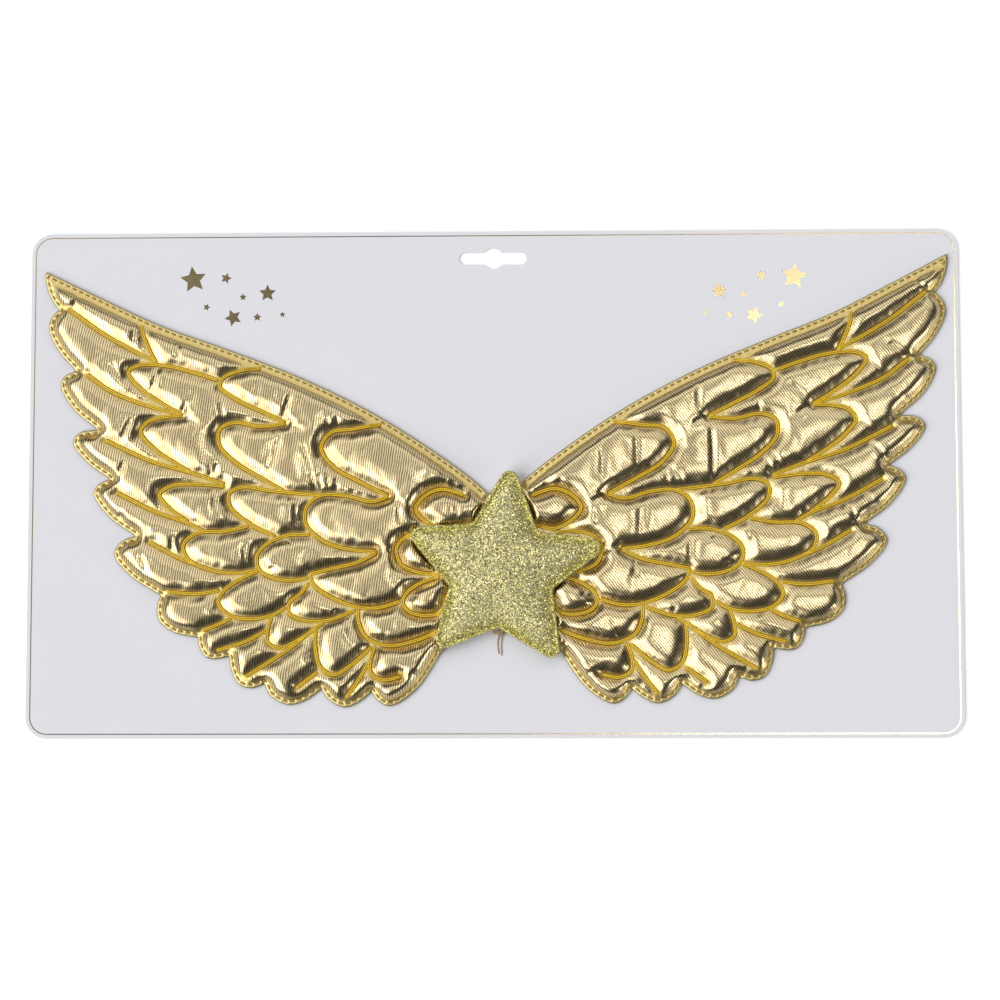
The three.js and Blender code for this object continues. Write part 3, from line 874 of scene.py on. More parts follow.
@dataclass(frozen=True)
class GoldCloth:
    """Metallic gold cloth with twill ribs, flattened and duller beside its seams. Its colour holds painted
    light: a painted highlight on the rib tops, painted shade in the rib valleys and on the rim's outer
    edge.

    Gaps are distances inside the rim or from a seam's margin, less than nought on the rim.
    """

    # The first colour is the painted highlight on the rib tops, the second the painted shade in the rib
    # valleys.
    gold: str = "FBE9BA"
    rib_valley_shade: str = "70541F"
    pressed: str = "D9C180"
    rim: str = "CFBE86"
    # Painted shade colour on the outer side of the rolled rim.
    edge: str = "8A7630"
    rim_metal: float = 0.9
    rib_pitch: float = 1.1
    rib_height: float = 0.009 * MM
    rib_share: float = 0.85
    pressed_rib: float = 0.2
    sway_scale: float = 0.25
    sway: float = 0.9
    mottle: tuple[float, float] = (60.0, 900.0)
    tone_share: float = 0.3
    roughness: float = 0.275
    pressed_dull: float = 0.12
    tone_dull: float = 0.015
    free_gap: tuple[float, float] = (0.5 * MM, 1.8 * MM)
    inner_gap: tuple[float, float] = (-0.5 * MM, -0.1 * MM)
    # How far inside the edge the rim's painted shade fades out.
    edge_gap: tuple[float, float] = (-2.3 * MM, -1.7 * MM)
    bump_filter: float = 0.1

    def material(self) -> bpy.types.Material:
        """Builds the finish on the piece's pattern map, in millimetres across and along the ribs."""
        material, bench = new_material("gold_cloth")
        place = bench.add("ShaderNodeUVMap", uv_map="pattern").outputs["UV"]
        split = bench.add("ShaderNodeSeparateXYZ", {0: place})
        drift = bench.noise(place, self.sway_scale)
        across = bench.math("MULTIPLY_ADD", drift, self.sway, split.outputs["X"])
        phase = bench.math("MULTIPLY", across, 2 * pi / self.rib_pitch)
        rib = bench.math("MULTIPLY_ADD", bench.math("SINE", phase), 0.5, 0.5)
        gap = bench.add("ShaderNodeAttribute", attribute_name="seam_gap").outputs["Fac"]
        free = bench.fade(gap, *self.free_gap)
        inner = bench.fade(gap, *self.inner_gap)
        tone = Mottle.placed(bench, *self.mottle)
        ribbed = bench.math("MULTIPLY", rib, self.rib_share)
        lit = bench.math("MULTIPLY_ADD", tone, self.tone_share, ribbed, clamp=True)
        # Painted light: the ribs' colour runs from painted shade in the valleys to a painted highlight on
        # the tops.
        rib_shaded_gold = bench.mix(lit, linear(self.rib_valley_shade), linear(self.gold))
        # Painted shade darkens the outermost strip of the rim.
        rim = bench.mix(bench.fade(gap, *self.edge_gap), linear(self.edge), linear(self.rim))
        flat = bench.mix(inner, rim, linear(self.pressed))
        colour = bench.mix(free, flat, rib_shaded_gold)
        dull = bench.math("MULTIPLY_ADD", free, -self.pressed_dull, self.roughness + self.pressed_dull)
        rough = bench.math("MULTIPLY_ADD", tone, self.tone_dull, dull)
        standing = bench.math("MULTIPLY_ADD", free, 1 - self.pressed_rib, self.pressed_rib)
        bump = bench.add("ShaderNodeBump", {"Strength": 1.0, "Distance": self.rib_height,
                                            "Filter Width": self.bump_filter,
                                            "Height": bench.math("MULTIPLY", rib, standing)})
        metallic = bench.math("MULTIPLY_ADD", inner, 1 - self.rim_metal, self.rim_metal)
        bench.finish(Base_Color=colour, Metallic=metallic, Roughness=rough,
                     Normal=bump.outputs["Normal"])
        return material


@dataclass(frozen=True)
class SewingThread:
    """Glossy sewing thread with twisted fibres, yellow unless other colours are given, with painted shade
    in the grooves of the twist and a painted highlight on the fibres.
    """

    name: str = "yellow_thread"
    # The painted highlight colour on the fibres, then the painted shade colour between them.
    bright: str = "A8861A"
    shade: str = "6E560A"
    pitch: float = 0.55
    roughness: float = 0.42
    metallic: float = 0.15
    mottle: tuple[float, float] = (120.0, 1500.0)
    fibre_share: float = 0.6
    tone_share: float = 0.5
    fibre_bump: float = 0.6
    fibre_height: float = 0.06 * MM

    def material(self) -> bpy.types.Material:
        """Builds the finish on the thread's own run map."""
        material, bench = new_material(self.name)
        fibre = ThreadTwist.placed(bench, self.pitch)
        tone = bench.math("MULTIPLY", Mottle.placed(bench, *self.mottle), self.tone_share)
        # Painted shade and highlight along the twist, plus an uneven tone.
        twist_shade_and_tone = bench.math("MULTIPLY_ADD", fibre, self.fibre_share, tone, clamp=True)
        colour = self.dyed(bench, bench.mix(twist_shade_and_tone, linear(self.shade), linear(self.bright)))
        bump = bench.add("ShaderNodeBump", {"Strength": self.fibre_bump, "Distance": self.fibre_height,
                                            "Height": fibre})
        bench.finish(Base_Color=colour, Metallic=self.metallic, Roughness=self.roughness,
                     Normal=bump.outputs["Normal"])
        return material

    def dyed(self, bench: NodeBench, colour: bpy.types.NodeSocket) -> bpy.types.NodeSocket:
        """Leaves the fibres' colour as it is."""
        return colour


@dataclass(frozen=True)
class SeamCord(SewingThread):
    """Two glossy yellow strands side by side, with painted shade in the groove between them."""

    name: str = "seam_cord"
    bright: str = "FFD62A"
    shade: str = "BE960E"
    pitch: float = 0.9
    roughness: float = 0.38
    metallic: float = 0.2
    # The painted shade colour in the groove between the strands.
    groove_shade: str = "6A520E"
    groove_fade: tuple[float, float] = (0.15, 0.85)

    def dyed(self, bench: NodeBench, colour: bpy.types.NodeSocket) -> bpy.types.NodeSocket:
        """Paints shade into the groove by the seam's strand attribute, which is 1 on a strand's top."""
        strand = bench.add("ShaderNodeAttribute", attribute_name="strand").outputs["Fac"]
        return bench.mix(bench.fade(strand, *self.groove_fade), linear(self.groove_shade), colour)


@dataclass(frozen=True)
class Glitter:
    """Pale green gold glitter: small flakes, each turned its own way, with painted shade on the rim and
    the slope down to its groove, and in the groove itself.
    """

    pale: str = "FFF8C8"
    deep: str = "A49A4A"
    # Painted shade colours: on the rim and the slope towards its groove, then in the groove.
    slope: str = "C6BE5A"
    groove_shade: str = "A89E38"
    flake: float = 0.48 * MM
    tilt: float = 1.4
    metallic: float = 0.75
    roughness: float = 0.22
    flake_dull: float = 0.3
    slope_gap: tuple[float, float] = (5.0 * MM, 0.5 * MM)
    slope_share: float = 0.4
    groove_gap: tuple[float, float] = (0.8 * MM, 0.2 * MM)
    groove_share: float = 0.6

    def material(self) -> bpy.types.Material:
        """Builds the finish from cells of a Voronoi texture on the piece's own coordinates."""
        material, bench = new_material("glitter_cloth")
        place = bench.add("ShaderNodeTexCoord").outputs["Object"]
        cells = bench.add("ShaderNodeTexVoronoi", {"Vector": place, "Scale": 1 / self.flake})
        pick = bench.add("ShaderNodeSeparateColor", {0: cells.outputs["Color"]})
        flakes = bench.mix(pick.outputs[0], linear(self.deep), linear(self.pale))
        gap = bench.add("ShaderNodeAttribute", attribute_name="groove_gap").outputs["Fac"]
        # Painted shade on the rim and on the slope within a few millimetres of the groove.
        slope_shaded = bench.mix(bench.fade(gap, *self.slope_gap), flakes, linear(self.slope))
        toned = bench.mix(self.slope_share, flakes, slope_shaded)
        # Painted shade in the groove at the rim.
        beside = bench.fade(bench.math("ABSOLUTE", gap), *self.groove_gap)
        groove_shade_mix = bench.math("MULTIPLY", beside, self.groove_share)
        colour = bench.mix(groove_shade_mix, toned, linear(self.groove_shade))
        lean = bench.add("ShaderNodeVectorMath", {0: cells.outputs["Color"], 1: (0.5, 0.5, 0.5)},
                         operation="SUBTRACT")
        scaled = bench.add("ShaderNodeVectorMath", {0: lean.outputs[0], "Scale": self.tilt},
                           operation="SCALE")
        facing = bench.add("ShaderNodeNewGeometry").outputs["Normal"]
        summed = bench.add("ShaderNodeVectorMath", {0: facing, 1: scaled.outputs[0]})
        normal = bench.add("ShaderNodeVectorMath", {0: summed.outputs[0]}, operation="NORMALIZE")
        rough = bench.math("MULTIPLY_ADD", pick.outputs[1], self.flake_dull, self.roughness)
        bench.finish(Base_Color=colour, Metallic=self.metallic, Roughness=rough,
                     Normal=normal.outputs[0])
        return material


@dataclass(frozen=True)
class MottledSheet:
    """A smooth sheet of two near colours, with an uneven gloss and a faint tooth."""

    name: str
    light: str
    dark: str
    mottle: tuple[float, float]
    roughness: float
    tone_dull: float
    tooth: float
    tooth_height: float
    metallic: float = 0.0

    def material(self) -> bpy.types.Material:
        """Builds the finish from broad and fine mottle."""
        material, bench = new_material(self.name)
        tone = Mottle.placed(bench, *self.mottle)
        colour = bench.mix(tone, linear(self.dark), linear(self.light))
        rough = bench.math("MULTIPLY_ADD", tone, self.tone_dull, self.roughness)
        bump = bench.add("ShaderNodeBump", {"Strength": self.tooth, "Distance": self.tooth_height,
                                            "Height": tone})
        bench.finish(Base_Color=colour, Metallic=self.metallic, Roughness=rough,
                     Normal=bump.outputs["Normal"])
        return material


# Smooth pale card with a faint lilac tint and fine fibres.
CARD_PAPER = MottledSheet("card_paper", "E2E2E7", "DCDCE2", mottle=(14.0, 1400.0), roughness=0.5,
                          tone_dull=0.12, tooth=0.2, tooth_height=0.03 * MM)

# Thin pressed gold foil, a little uneven.
GOLD_FOIL = MottledSheet("gold_foil", "DFC99C", "C6AE7E", mottle=(90.0, 1100.0), roughness=0.15,
                         tone_dull=0.06, tooth=0.1, tooth_height=0.02 * MM, metallic=1.0)


@dataclass(frozen=True)
class StudioFloor:
    """Plain white studio floor, lit a little from below."""

    white: str = "FDFDFD"
    shade: str = "F8F8F9"
    mottle: tuple[float, float] = (1.5, 40.0)
    roughness: float = 0.9
    glow: float = 0.12

    def material(self) -> bpy.types.Material:
        """Builds the finish from broad mottle."""
        material, bench = new_material("studio_floor")
        tone = Mottle.placed(bench, *self.mottle)
        colour = bench.mix(tone, linear(self.shade), linear(self.white))
        bench.finish(Base_Color=colour, Roughness=self.roughness, Emission_Color=colour,
                     Emission_Strength=self.glow)
        return material


# Sub-assemblies

@dataclass
class Wing:
    """One quilted wing: padded gold cloth, sewn feather lines and a running stitch at its rim."""

    side: Side
    star: Array
    back: float
    mesh_step: float = 1.3 * MM
    rim_width: float = 2.3 * MM
    seam_height: float = 2.8 * MM
    seam_rise: float = 2.8 * MM
    hem_width: float = 3.8 * MM
    seam_margin: float = 0.8 * MM
    sewn_near: float = 0.05 * MM
    pressed_height: float = 4.2 * MM
    pressed_margin: float = 0.4 * MM
    pressed_slope: float = 1.6
    pressed_inset: float = 3.0 * MM
    crown: float = 2.5 * MM
    root_gain: float = 1.8 * MM
    root_from: float = 22.0 * MM
    root_span: float = 72.0 * MM
    puff_reach: float = 1.6 * MM
    shoulder: float = 4.8 * MM
    fold_width: float = 1.0 * MM
    fold_hold: float = 0.25 * MM
    fold_share: float = 0.55
    short_fold: float = 13.0 * MM
    crease_start: float = 0.9 * MM
    crumple_height: float = 0.03 * MM
    crumple_lengths: tuple[float, float] = (4.0 * MM, 9.0 * MM)
    crumple_waves: int = 30
    ease_rounds: int = 1
    left_turn: float = radians(-1.84)
    left_from: tuple[float, float] = (57 * MM, -103 * MM)
    left_to: tuple[float, float] = (48.7 * MM, -104 * MM)
    seam_width: float = 1.65 * MM
    seam_thick: float = 0.55 * MM
    seam_lift: float = 0.25 * MM
    seam_columns: int = 9
    seam_groove: float = 0.25
    seam_under: float = 0.9
    seam_taper: float = 0.8 * MM
    taper_least: float = 0.05
    twist_pitch: float = 0.9 * MM
    twist_lean: float = 1.2
    twist_swell: float = 0.22
    stitch_pitch: float = 3.5 * MM
    stitch_length: float = 2.6 * MM
    stitch_width: float = 1.0 * MM
    stitch_thick: float = 0.3 * MM
    stitch_lift: float = 0.1 * MM
    stitch_end: float = 0.98
    stitch_rows: int = 7
    stitch_sides: int = 8
    bridge_width: float = 0.6 * MM
    bridge_height: float = 0.45 * MM

    # The creases at the end of a feather's line: angle in degrees, length and depth in millimetres.
    END_CREASES = ((0.0, 9.0, 0.9), (38.0, 5.5, 0.6), (-38.0, 5.5, 0.6))

    # The rolled rim in section, in metres: distance inside the edge and height above the back.
    # The third place is the line of the running stitch.
    RIM_INSET = MM * np.array([0.0, 0.55, 1.65, 2.3])
    RIM_HEIGHT = MM * np.array([0.75, 1.55, 1.2, 1.5])

    # Points of the running stitch's line to each stitch. The first is the stitch's middle, and the
    # one half way on is the middle of the gap after it.
    STITCH_PARTS = 4

    # The turn in degrees that brings the cloth's ribs upright.
    RIB_LEAN = {Side.RIGHT: -38.0, Side.LEFT: 8.0}

    @property
    def name(self) -> str:
        """The wing's name, which is also its solid's."""
        return f"{self.side.value}_wing"

    def place(self, points: Array) -> Array:
        """Moves points of the right wing's pattern to where they lie on this wing."""
        if self.side is Side.RIGHT:
            return points
        moved = turned(points - np.array(self.left_from), self.left_turn) + np.array(self.left_to)
        return moved * np.array([-1.0, 1.0])

    def outline(self) -> Array:
        """The wing's closed edge, anticlockwise: root, leading edge and feather tips."""
        step = self.mesh_step
        root = np.vstack([FEATHER_TIPS[-1, -1], ROOT_EDGE, LEADING_EDGE[0]])
        starts = np.vstack([LEADING_EDGE[-1:], FEATHER_TIPS[:-1, -1]])
        tips = np.concatenate([starts[:, None], FEATHER_TIPS], axis=1)
        loop = np.vstack([smooth_curve(each, step)[:-1] for each in (root, LEADING_EDGE, *tips)])
        return anticlockwise(self.place(loop))

    def sewn_lines(self, step: float) -> list[Array]:
        """The feather lines as they lie on this wing, with points a step apart."""
        return [self.place(smooth_curve(MM * np.array(path), step)) for path in SEWN_LINES.values()]

    def folds(self) -> Array:
        """This wing's folds, with the short ones kept sharp, and the creases at its seams' ends."""
        folds = (RIGHT_FOLDS if self.side is Side.RIGHT else LEFT_FOLDS).copy()
        length = np.linalg.norm(folds[:, 2:4] - folds[:, :2], axis=1)
        folds[:, 5] *= np.where(length < self.short_fold, 1.0, self.fold_share)
        return np.vstack([folds, self.end_creases()])

    def end_creases(self) -> Array:
        """Rows of short creases that fan out from the pointed end of each feather's line."""
        ends = MM * np.array([path[-2:] for path in SEWN_LINES.values() if len(path) > STRAIGHT_POINTS])
        ahead = ends[:, 1] - ends[:, 0]
        ahead /= np.linalg.norm(ahead, axis=1, keepdims=True)
        rows = []
        for angle, length, depth in self.END_CREASES:
            away = turned(ahead, radians(angle))
            start = self.place(ends[:, 1] + self.crease_start * away)
            finish = self.place(ends[:, 1] + length * MM * away)
            rest = np.tile([0.0, depth * MM], (len(ends), 1))
            rows.append(np.column_stack([start, finish, rest]))
        return np.vstack(rows)

    def edge_gap(self, spots: Array, edge: Array) -> Array:
        """How far points lie inside the sewn rim, nought on the flat hem of the leading edge."""
        inside = edge_distance(spots, edge) - self.rim_width
        top = nearest_distance(spots, self.place(smooth_curve(LEADING_EDGE, FINE_STEP)))
        return np.minimum(inside, np.maximum(top - self.hem_width, 0.0))

    def sewn_height(self, spots: Array, edge: Array) -> Array:
        """The height of the sewn cloth above the wing's back: the rim's section, higher inside."""
        rim = np.interp(edge_distance(spots, edge), self.RIM_INSET, self.RIM_HEIGHT)
        inside = smoothstep(self.edge_gap(spots, edge) / self.seam_rise)
        level = rim + (self.seam_height - rim) * inside
        near = 1 - nearest_distance(spots, self.star) / self.seam_rise
        under = np.where(inside_loop(spots, self.star), 1.0, smoothstep(near))
        return level + (self.pressed_height - level) * under

    def build(self, cloth: bpy.types.Material, seam: bpy.types.Material,
              thread: bpy.types.Material) -> None:
        """Makes the wing's three pieces."""
        edge = self.outline()
        self.make_pad(edge, cloth)
        self.make_seams(edge, seam)
        self.make_stitches(edge, thread)

    def stitch_loop(self, edge: Array) -> Array:
        """The closed line of the running stitch, with the same number of points to each stitch."""
        line = inset_loop(edge, self.RIM_INSET[2], FINE_STEP)
        length = np.linalg.norm(line - np.roll(line, 1, axis=0), axis=1).sum()
        stitches = round(length / self.stitch_pitch)
        return even_spacing(line, length / (stitches * self.STITCH_PARTS), closed=True)

    def cut_front(self, edge: Array) -> PadFront:
        """Cuts the front along the rim, the hem, the sewn lines and their margins, and the folds."""
        step = self.mesh_step
        seams = self.sewn_lines(step)
        margins = [line + margin * sideways(line) for line in seams
                   for margin in (-self.seam_margin, self.seam_margin)]
        rolls = [inset_loop(edge, inset, step) for inset in self.RIM_INSET[1::2]]
        top = smooth_curve(LEADING_EDGE, step)
        hem = self.place(top - self.hem_width * sideways(top))
        folds = fold_lines(self.folds(), step)
        return PadFront.cut(edge, [self.stitch_loop(edge), *rolls, hem, *seams, *margins, *folds], step)

    def blown_front(self, front: PadFront, edge: Array, gap: Array) -> Array:
        """Shapes the front: sewn level, filling less the folds, blown up, with small crumples.

        Args:
            front: The flat front.
            edge: The wing's edge.
            gap: How far each point is from the rim and the seams' margins.

        Returns:
            The front's points in space, with heights above the wing's back.
        """
        spots = front.spots
        pinned = inside_loop(spots, self.star) & (nearest_distance(spots, self.star) > self.pressed_inset)
        sewn = (gap < self.sewn_near) | pinned
        folded = np.where(sewn, 0.0, fold_depth(spots, self.folds(), self.fold_width))
        share = front.filling(sewn, 1.0, self.puff_reach)
        filled = round_shoulder(share, self.puff_reach, self.shoulder)
        outwards = (np.abs(spots[:, 0]) - self.root_from) / self.root_span
        puff = (self.crown + self.root_gain * (1 - smoothstep(outwards))) * filled
        stitch_gaps = self.stitch_loop(edge)[self.STITCH_PARTS // 2::self.STITCH_PARTS]
        bridge = nearest_distance(spots, stitch_gaps) / self.bridge_width
        level = self.sewn_height(spots, edge) + self.bridge_height * np.exp(-bridge**2)
        shape = np.column_stack([spots, level + np.maximum(puff - folded, 0.0)])
        held = sewn | (folded > self.fold_hold)
        shape = front.relax(front.blow_up(shape, held, PuffRecipe()), held, self.ease_rounds)
        seed = list(Side).index(self.side)
        waves = crumples(spots, self.crumple_lengths, self.crumple_waves, seed)
        shape[:, 2] += 4 * filled * (1 - filled) * self.crumple_height * waves
        return shape

    def make_pad(self, edge: Array, cloth: bpy.types.Material) -> None:
        """Makes the padded cloth, blown up between its sewn lines and pressed under the star.

        The star presses points below it to one height, and from its edge the limit rises evenly.
        """
        front = self.cut_front(edge)
        from_seam = nearest_distance(front.spots, np.vstack(self.sewn_lines(FINE_STEP)))
        gap = np.minimum(np.maximum(from_seam - self.seam_margin, 0.0), self.edge_gap(front.spots, edge))
        shape = self.blown_front(front, edge, gap)
        covered = inside_loop(front.spots, self.star)
        from_star = np.where(covered, 0.0, nearest_distance(shape[:, :2], self.star))
        slope = self.pressed_slope * np.maximum(0.0, from_star - self.pressed_margin)
        shape[:, 2] = self.back + np.minimum(shape[:, 2], self.pressed_height + slope)
        vertices, faces = front.closed_body(shape, self.back)
        pad = make_piece(f"{self.name}_cloth", vertices, faces, cloth)
        pattern = turned(front.spots, radians(self.RIB_LEAN[self.side]))
        set_uv(pad, "pattern", front.with_back(pattern) / MM)
        set_attribute(pad, "seam_gap", front.with_back(gap))
        subdivide(pad)
        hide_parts(self.name)

    def make_seams(self, edge: Array, thread: bpy.types.Material) -> None:
        """Makes the feather lines: two twisted strands side by side along each sewn line.

        The section is two half rounds on a sunk base, and each strand's height swells along it
        with the twist, the two strands leaning opposite ways. Both ends taper by a root.
        """
        across = np.linspace(1.0, -1.0, self.seam_columns)
        hump = np.sqrt(np.clip(1 - ((np.abs(across) - 0.5) / 0.5) ** 2, 0.0, 1.0))
        side = np.concatenate([across, [-self.seam_under, self.seam_under]]) * self.seam_width / 2
        top = self.seam_groove + (1 - self.seam_groove) * hump
        rise = np.concatenate([top, [-1.0, -1.0]]) * self.seam_thick
        strand = np.concatenate([hump, np.zeros(2)])
        lean = self.twist_lean * np.abs(side)[None] / self.seam_width
        vertices, faces, places = [], [], []
        count = 0
        for path in self.sewn_lines(FINE_STEP):
            run = FINE_STEP * np.arange(len(path))
            base = self.back + self.sewn_height(path, edge) + self.seam_lift
            twist = np.cos(2 * pi * (run[:, None] / self.twist_pitch + lean))
            from_end = np.minimum(run, run[::-1]) / self.seam_taper
            ends = np.sqrt(np.clip(from_end, self.taper_least, 1.0))[:, None]
            flat = path[:, None] + sideways(path)[:, None] * (side[None] * ends)[..., None]
            height = base[:, None] + rise[None] * (1 + self.twist_swell * strand * twist) * ends
            vertices.append(raised(flat, height))
            faces += tube_faces(len(path), len(side), count)
            places.append(run_places(run[:, None] / MM, lean))
            count += len(path) * len(side)
        seams = make_piece(f"{self.name}_seams", np.vstack(vertices), faces, thread)
        set_uv(seams, "run", np.vstack(places))
        # The strand attribute places the cord's painted shade in the groove between the strands.
        set_attribute(seams, "strand", np.tile(strand, count // len(side)))

    def make_stitches(self, edge: Array, thread: bpy.types.Material) -> None:
        """Makes the running stitch round the rim: low rounded dashes, an even pitch apart.

        Each is a row of rings whose half width and height fall to its ends by the root of one
        less the fourth power of the place along it.
        """
        loop = self.stitch_loop(edge)
        spots = loop[::self.STITCH_PARTS]
        ahead = tangents(loop, closed=True)[::self.STITCH_PARTS]
        left = sideways(loop, closed=True)[::self.STITCH_PARTS]
        rows, sides = self.stitch_rows, self.stitch_sides
        t = np.linspace(-self.stitch_end, self.stitch_end, rows)
        around = np.linspace(0.0, 2 * pi, sides, endpoint=False)
        fall = np.sqrt(1 - t**4)[:, None]
        length = (t * self.stitch_length / 2)[:, None]
        width = fall * np.cos(around) * self.stitch_width / 2
        height = fall * np.sin(around) * self.stitch_thick
        flat = (spots[:, None, None] + ahead[:, None, None] * length[..., None]
                + left[:, None, None] * width[..., None])
        level = self.back + self.RIM_HEIGHT[2] + self.stitch_lift + height
        faces = tube_faces(rows, sides, count=len(spots))
        stitches = make_piece(f"{self.name}_stitches", raised(flat, level), faces, thread)
        places = run_places(length / MM, around / (2 * pi))
        set_uv(stitches, "run", np.tile(places, (len(spots), 1)))


@dataclass
class GlitterStar:
    """The padded star that is sewn over the place where the wings meet."""

    back: float
    tip_radius: float = 4.6 * MM
    valley_radius: float = 3.0 * MM
    mesh_step: float = 1.2 * MM
    rim_width: float = 2.0 * MM
    edge_height: float = 2.0 * MM
    roll_height: float = 0.8 * MM
    hold_margin: float = 0.1 * MM
    crown: float = 3.8 * MM
    puff_reach: float = 3.6 * MM
    fill_rounds: int = 400
    ease_rounds: int = 2
    recipe: PuffRecipe = PuffRecipe(spare_cloth=0.004, bending=4.0)

    # The lines inside the edge that the mesh follows, as shares of the rim's width.
    RIM_LINES = (1.0, 0.5)

    def outline(self) -> Array:
        """The star's closed edge, anticlockwise, with rounded points and valleys."""
        tip_angle, tip_reach, valley_angle, valley_reach = STAR_POINTS.T
        angle = np.radians(np.column_stack([tip_angle, valley_angle]).ravel())
        reach = MM * np.column_stack([tip_reach, valley_reach]).ravel()
        corners = STAR_CENTRE + reach[:, None] * np.column_stack([np.cos(angle), np.sin(angle)])
        radii = np.tile([self.tip_radius, self.valley_radius], len(STAR_POINTS))
        return anticlockwise(even_spacing(rounded_polygon(corners, radii), self.mesh_step, closed=True))

    def build(self, glitter: bpy.types.Material) -> None:
        """Makes the padded glitter cloth, blown up inside the groove at its rim."""
        edge = self.outline()
        loops = [inset_loop(edge, share * self.rim_width, self.mesh_step) for share in self.RIM_LINES]
        front = PadFront.cut(edge, loops, self.mesh_step)
        from_edge = edge_distance(front.spots, edge)
        held = from_edge < self.rim_width + self.hold_margin
        inwards = np.clip(from_edge / self.rim_width, 0.0, 1.0)
        rolled = self.edge_height + self.roll_height * np.sin(pi * inwards)
        puff = front.filling(held, self.crown, self.puff_reach, self.fill_rounds)
        shape = np.column_stack([front.spots, rolled + puff])
        shape = front.relax(front.blow_up(shape, held, self.recipe), held, self.ease_rounds)
        shape[:, 2] += self.back
        vertices, faces = front.closed_body(shape, self.back)
        star = make_piece("star_cloth", vertices, faces, glitter)
        # The distance from the groove places the glitter's painted shade on the slope and in the groove.
        set_attribute(star, "groove_gap", front.with_back(from_edge - self.rim_width))
        subdivide(star)
        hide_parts("star")


@dataclass
class DisplayCard:
    """The card that the wings lie on, with a thin foil line and small foil stars."""

    width: float
    height: float
    top: float
    line_inset: float = 2.0 * MM
    line_corner: float = 8.0 * MM
    line_width: float = 0.45 * MM
    line_steps: int = 16
    foil_thick: float = 0.04 * MM
    foil_sunk: float = 0.25
    star_points: int = 5
    star_waist: float = 0.48

    # Each foil star right of the slot: its middle and reach in millimetres, its turn in degrees.
    STARS = np.array([
        [142.6, 97.7, 6.5, -8], [127, 98.3, 2.75, 18], [118.9, 89.2, 1.8, 0], [107.2, 91, 4.2, 0],
        [136.2, 84.4, 1.85, 18], [123.5, 79.3, 4.25, -24], [112, 79.5, 2.1, 0], [100, 80.7, 1.5, 0]])

    def build(self, paper: bpy.types.Material, foil: bpy.types.Material) -> None:
        """Dresses the card's own solid and lays the foil on it."""
        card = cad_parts["card"]
        card.data.materials.clear()
        card.data.materials.append(paper)
        self.make_line(foil)
        self.make_stars(foil)

    def make_line(self, foil: bpy.types.Material) -> None:
        """Makes the foil line: a flat band along a rounded rectangle inside the card's edge."""
        x = self.width / 2 - self.line_inset
        y = self.height / 2 - self.line_inset
        corners = np.array([[x, -y], [x, y], [-x, y], [-x, -y]])
        path = rounded_polygon(corners, np.full(len(corners), self.line_corner), self.line_steps)
        side = np.array([-0.5, 0.5, 0.5, -0.5]) * self.line_width
        level = self.top + np.array([self.foil_sunk, self.foil_sunk, 1.0, 1.0]) * self.foil_thick
        flat = path[:, None] + sideways(path, closed=True)[:, None] * side[None, :, None]
        vertices = raised(flat, level)
        quads = ring_quads(len(path) + 1, len(side)) % len(vertices)
        make_piece("card_foil_line", vertices, quads.tolist(), foil, smooth=False)

    def make_stars(self, foil: bpy.types.Material) -> None:
        """Makes the foil stars: flat plates with points and waists by turns, on both sides of the card."""
        stars = np.vstack([self.STARS, self.STARS * np.array([-1, 1, 1, -1])])
        corner = np.arange(2 * self.star_points)
        angle = pi / 2 + np.radians(stars[:, 3:]) + pi / self.star_points * corner
        reach = stars[:, 2:3] * np.where(corner % 2 == 0, 1.0, self.star_waist)
        around = np.stack([np.cos(angle), np.sin(angle)], axis=2)
        flat = MM * (stars[:, None, :2] + reach[..., None] * around)
        levels = self.top + np.array([self.foil_sunk, 1.0]) * self.foil_thick
        vertices = raised(np.stack([flat, flat], axis=1), levels[:, None])
        faces = tube_faces(len(levels), len(corner), count=len(stars))
        make_piece("card_foil_stars", vertices, faces, foil, smooth=False)


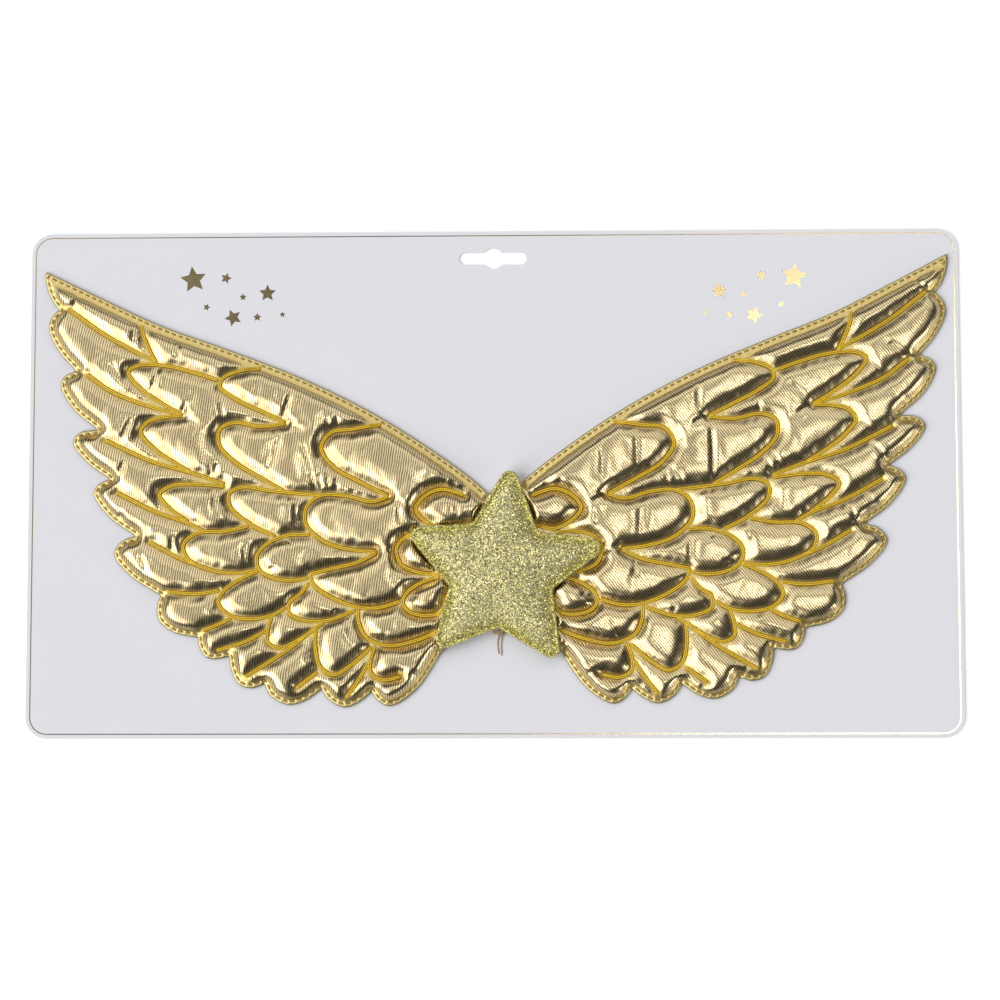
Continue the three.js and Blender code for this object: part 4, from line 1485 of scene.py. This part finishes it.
@dataclass
class TieThread:
    """The thread knot below the star, with two short tails on the card."""

    card_top: float
    radius: float = 0.28 * MM
    sides: int = 8
    step: float = 0.25 * MM

    # Routes of the strands in millimetres, with heights above the card's front.
    ROUTES = (
        ((-0.6, -69.2, 2.6), (0.6, -70.2, 2.4), (3.0, -70.7, 2.6), (5.2, -70.4, 2.5), (6.6, -69.3, 2.8)),
        ((-0.4, -68.6, 3.2), (0.9, -69.6, 3.1), (3.0, -70.0, 3.3), (5.0, -69.8, 3.1), (6.4, -68.8, 3.4)),
        ((-0.2, -70.4, 1.6), (1.2, -71.2, 1.7), (3.2, -71.4, 1.9), (5.0, -71.1, 1.7), (6.2, -70.1, 1.8)),
        ((4.3, -68.4, 3.3), (4.5, -69.4, 3.9), (4.5, -70.6, 3.4), (4.3, -71.8, 2.2), (4.2, -72.0, 1.0)),
        ((3.1, -71.3, 1.4), (2.5, -73.5, 0.6), (2.2, -76.0, 0.32), (2.4, -78.5, 0.32), (2.9, -80.6, 0.32)),
        ((4.3, -71.3, 1.4), (4.2, -73.5, 0.6), (3.9, -76.0, 0.32), (4.0, -79.0, 0.32), (4.1, -81.5, 0.32)),
    )

    def build(self, thread: bpy.types.Material) -> None:
        """Makes every strand as a round tube along its route, joined in one mesh."""
        vertices, faces, places = [], [], []
        count = 0
        around = np.linspace(0.0, 2 * pi, self.sides, endpoint=False)
        for route in self.ROUTES:
            path = smooth_curve(MM * np.array(route), self.step)
            along = tangents(path, closed=False)
            side = np.cross(along, [0.0, 0.0, 1.0])
            side /= np.maximum(np.linalg.norm(side, axis=1, keepdims=True), TINY)
            up = np.cross(side, along)
            ring = (side[:, None] * np.cos(around)[None, :, None]
                    + up[:, None] * np.sin(around)[None, :, None])
            tube = path[:, None] + self.radius * ring
            tube[..., 2] += self.card_top
            vertices.append(tube.reshape(-1, 3))
            faces += [face[::-1] for face in tube_faces(len(path), self.sides, count)]
            run = self.step / MM * np.arange(len(path))
            places.append(run_places(run[:, None], around[None] / (2 * pi)))
            count += len(path) * self.sides
        tie = make_piece("tie_thread", np.vstack(vertices), faces, thread)
        set_uv(tie, "run", np.vstack(places))


@dataclass(frozen=True)
class SoftLight:
    """A wide soft light at infinity: where it stands, how wide it looks and how strong it is."""

    name: str
    azimuth: float
    elevation: float
    width: float
    strength: float

    def build(self) -> None:
        """Adds the light; azimuth turns anticlockwise from +X and angles are in degrees."""
        lamp = bpy.data.lights.new(self.name, "SUN")
        lamp.angle = radians(self.width)
        lamp.energy = self.strength
        light = bpy.data.objects.new(self.name, lamp)
        light.rotation_mode = "XYZ"
        light.rotation_euler = (0.0, radians(90 - self.elevation), radians(self.azimuth))
        bpy.context.scene.collection.objects.link(light)


@dataclass
class Studio:
    """The floor, the lights and the camera."""

    floor_size: float = 30.0
    floor_drop: float = 0.2 * MM
    camera_place: tuple[float, float, float] = (42.34 * MM, -128.79 * MM, 1303.58 * MM)
    camera_turn: tuple[float, float, float] = (5.285, 1.719, -0.05)
    lens: float = 100.0
    sensor: float = 36.0
    room_tone: float = 0.04
    lights: tuple[SoftLight, ...] = (
        SoftLight("left_box", 205.0, 43.0, 60.0, 2.35),
        SoftLight("corner_box", 145.0, 50.0, 50.0, 0.65),
        SoftLight("far_box", 70.0, 43.0, 58.0, 0.75),
        SoftLight("right_box", -30.0, 16.0, 22.0, 0.5),
        SoftLight("strip_1", 0.0, 84.0, 6.0, 0.072),
        SoftLight("strip_2", 26.6, 83.3, 6.0, 0.072),
        SoftLight("strip_3", 45.0, 81.5, 6.0, 0.072),
    )

    def build(self) -> None:
        """Adds everything that isn't part of the object."""
        self.make_floor()
        self.make_room()
        for light in self.lights:
            light.build()
        self.make_camera()

    def make_floor(self) -> None:
        """Makes the flat floor, just under the card."""
        half = self.floor_size / 2
        corners = [(-half, -half), (half, -half), (half, half), (-half, half)]
        mesh = bpy.data.meshes.new("floor")
        mesh.from_pydata([(x, y, -self.floor_drop) for x, y in corners], [], [(0, 1, 2, 3)])
        mesh.materials.append(StudioFloor().material())
        floor = bpy.data.objects.new("floor", mesh)
        bpy.context.scene.collection.objects.link(floor)

    def make_room(self) -> None:
        """Sets the dim even tone of the room around the lights."""
        world = bpy.data.worlds.new("room")
        world.use_nodes = True
        tone = world.node_tree.nodes["Background"].inputs
        tone["Color"].default_value = (1.0, 1.0, 1.0, 1.0)
        tone["Strength"].default_value = self.room_tone
        bpy.context.scene.world = world
        bpy.context.scene.view_settings.view_transform = "Standard"

    def make_camera(self) -> None:
        """Places the camera nearly straight above the card."""
        data = bpy.data.cameras.new("camera")
        data.lens = self.lens
        data.sensor_width = self.sensor
        camera = bpy.data.objects.new("camera", data)
        camera.location = self.camera_place
        camera.rotation_euler = [radians(turn) for turn in self.camera_turn]
        bpy.context.scene.collection.objects.link(camera)
        bpy.context.scene.camera = camera


def main() -> None:
    """Builds the studio and every piece in order."""
    logging.basicConfig(level=logging.INFO, format="%(name)s: %(message)s")
    Studio().build()
    low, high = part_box("card")
    star = GlitterStar(back=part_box("star")[0].z)
    gold = GoldCloth().material()
    cord = SeamCord().material()
    yellow = SewingThread().material()
    card = DisplayCard(high.x - low.x, high.y - low.y, high.z)
    card.build(CARD_PAPER.material(), GOLD_FOIL.material())
    for side in Side:
        Wing(side, star.outline(), back=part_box("right_wing")[0].z).build(gold, cord, yellow)
    star.build(Glitter().material())
    # The tie thread has the same painted shade in the grooves of its twist.
    tan = SewingThread("tan_thread", bright="C8AE7A", shade="7A6236", metallic=0.1)
    TieThread(high.z).build(tan.material())


if __name__ == "__main__":
    main()
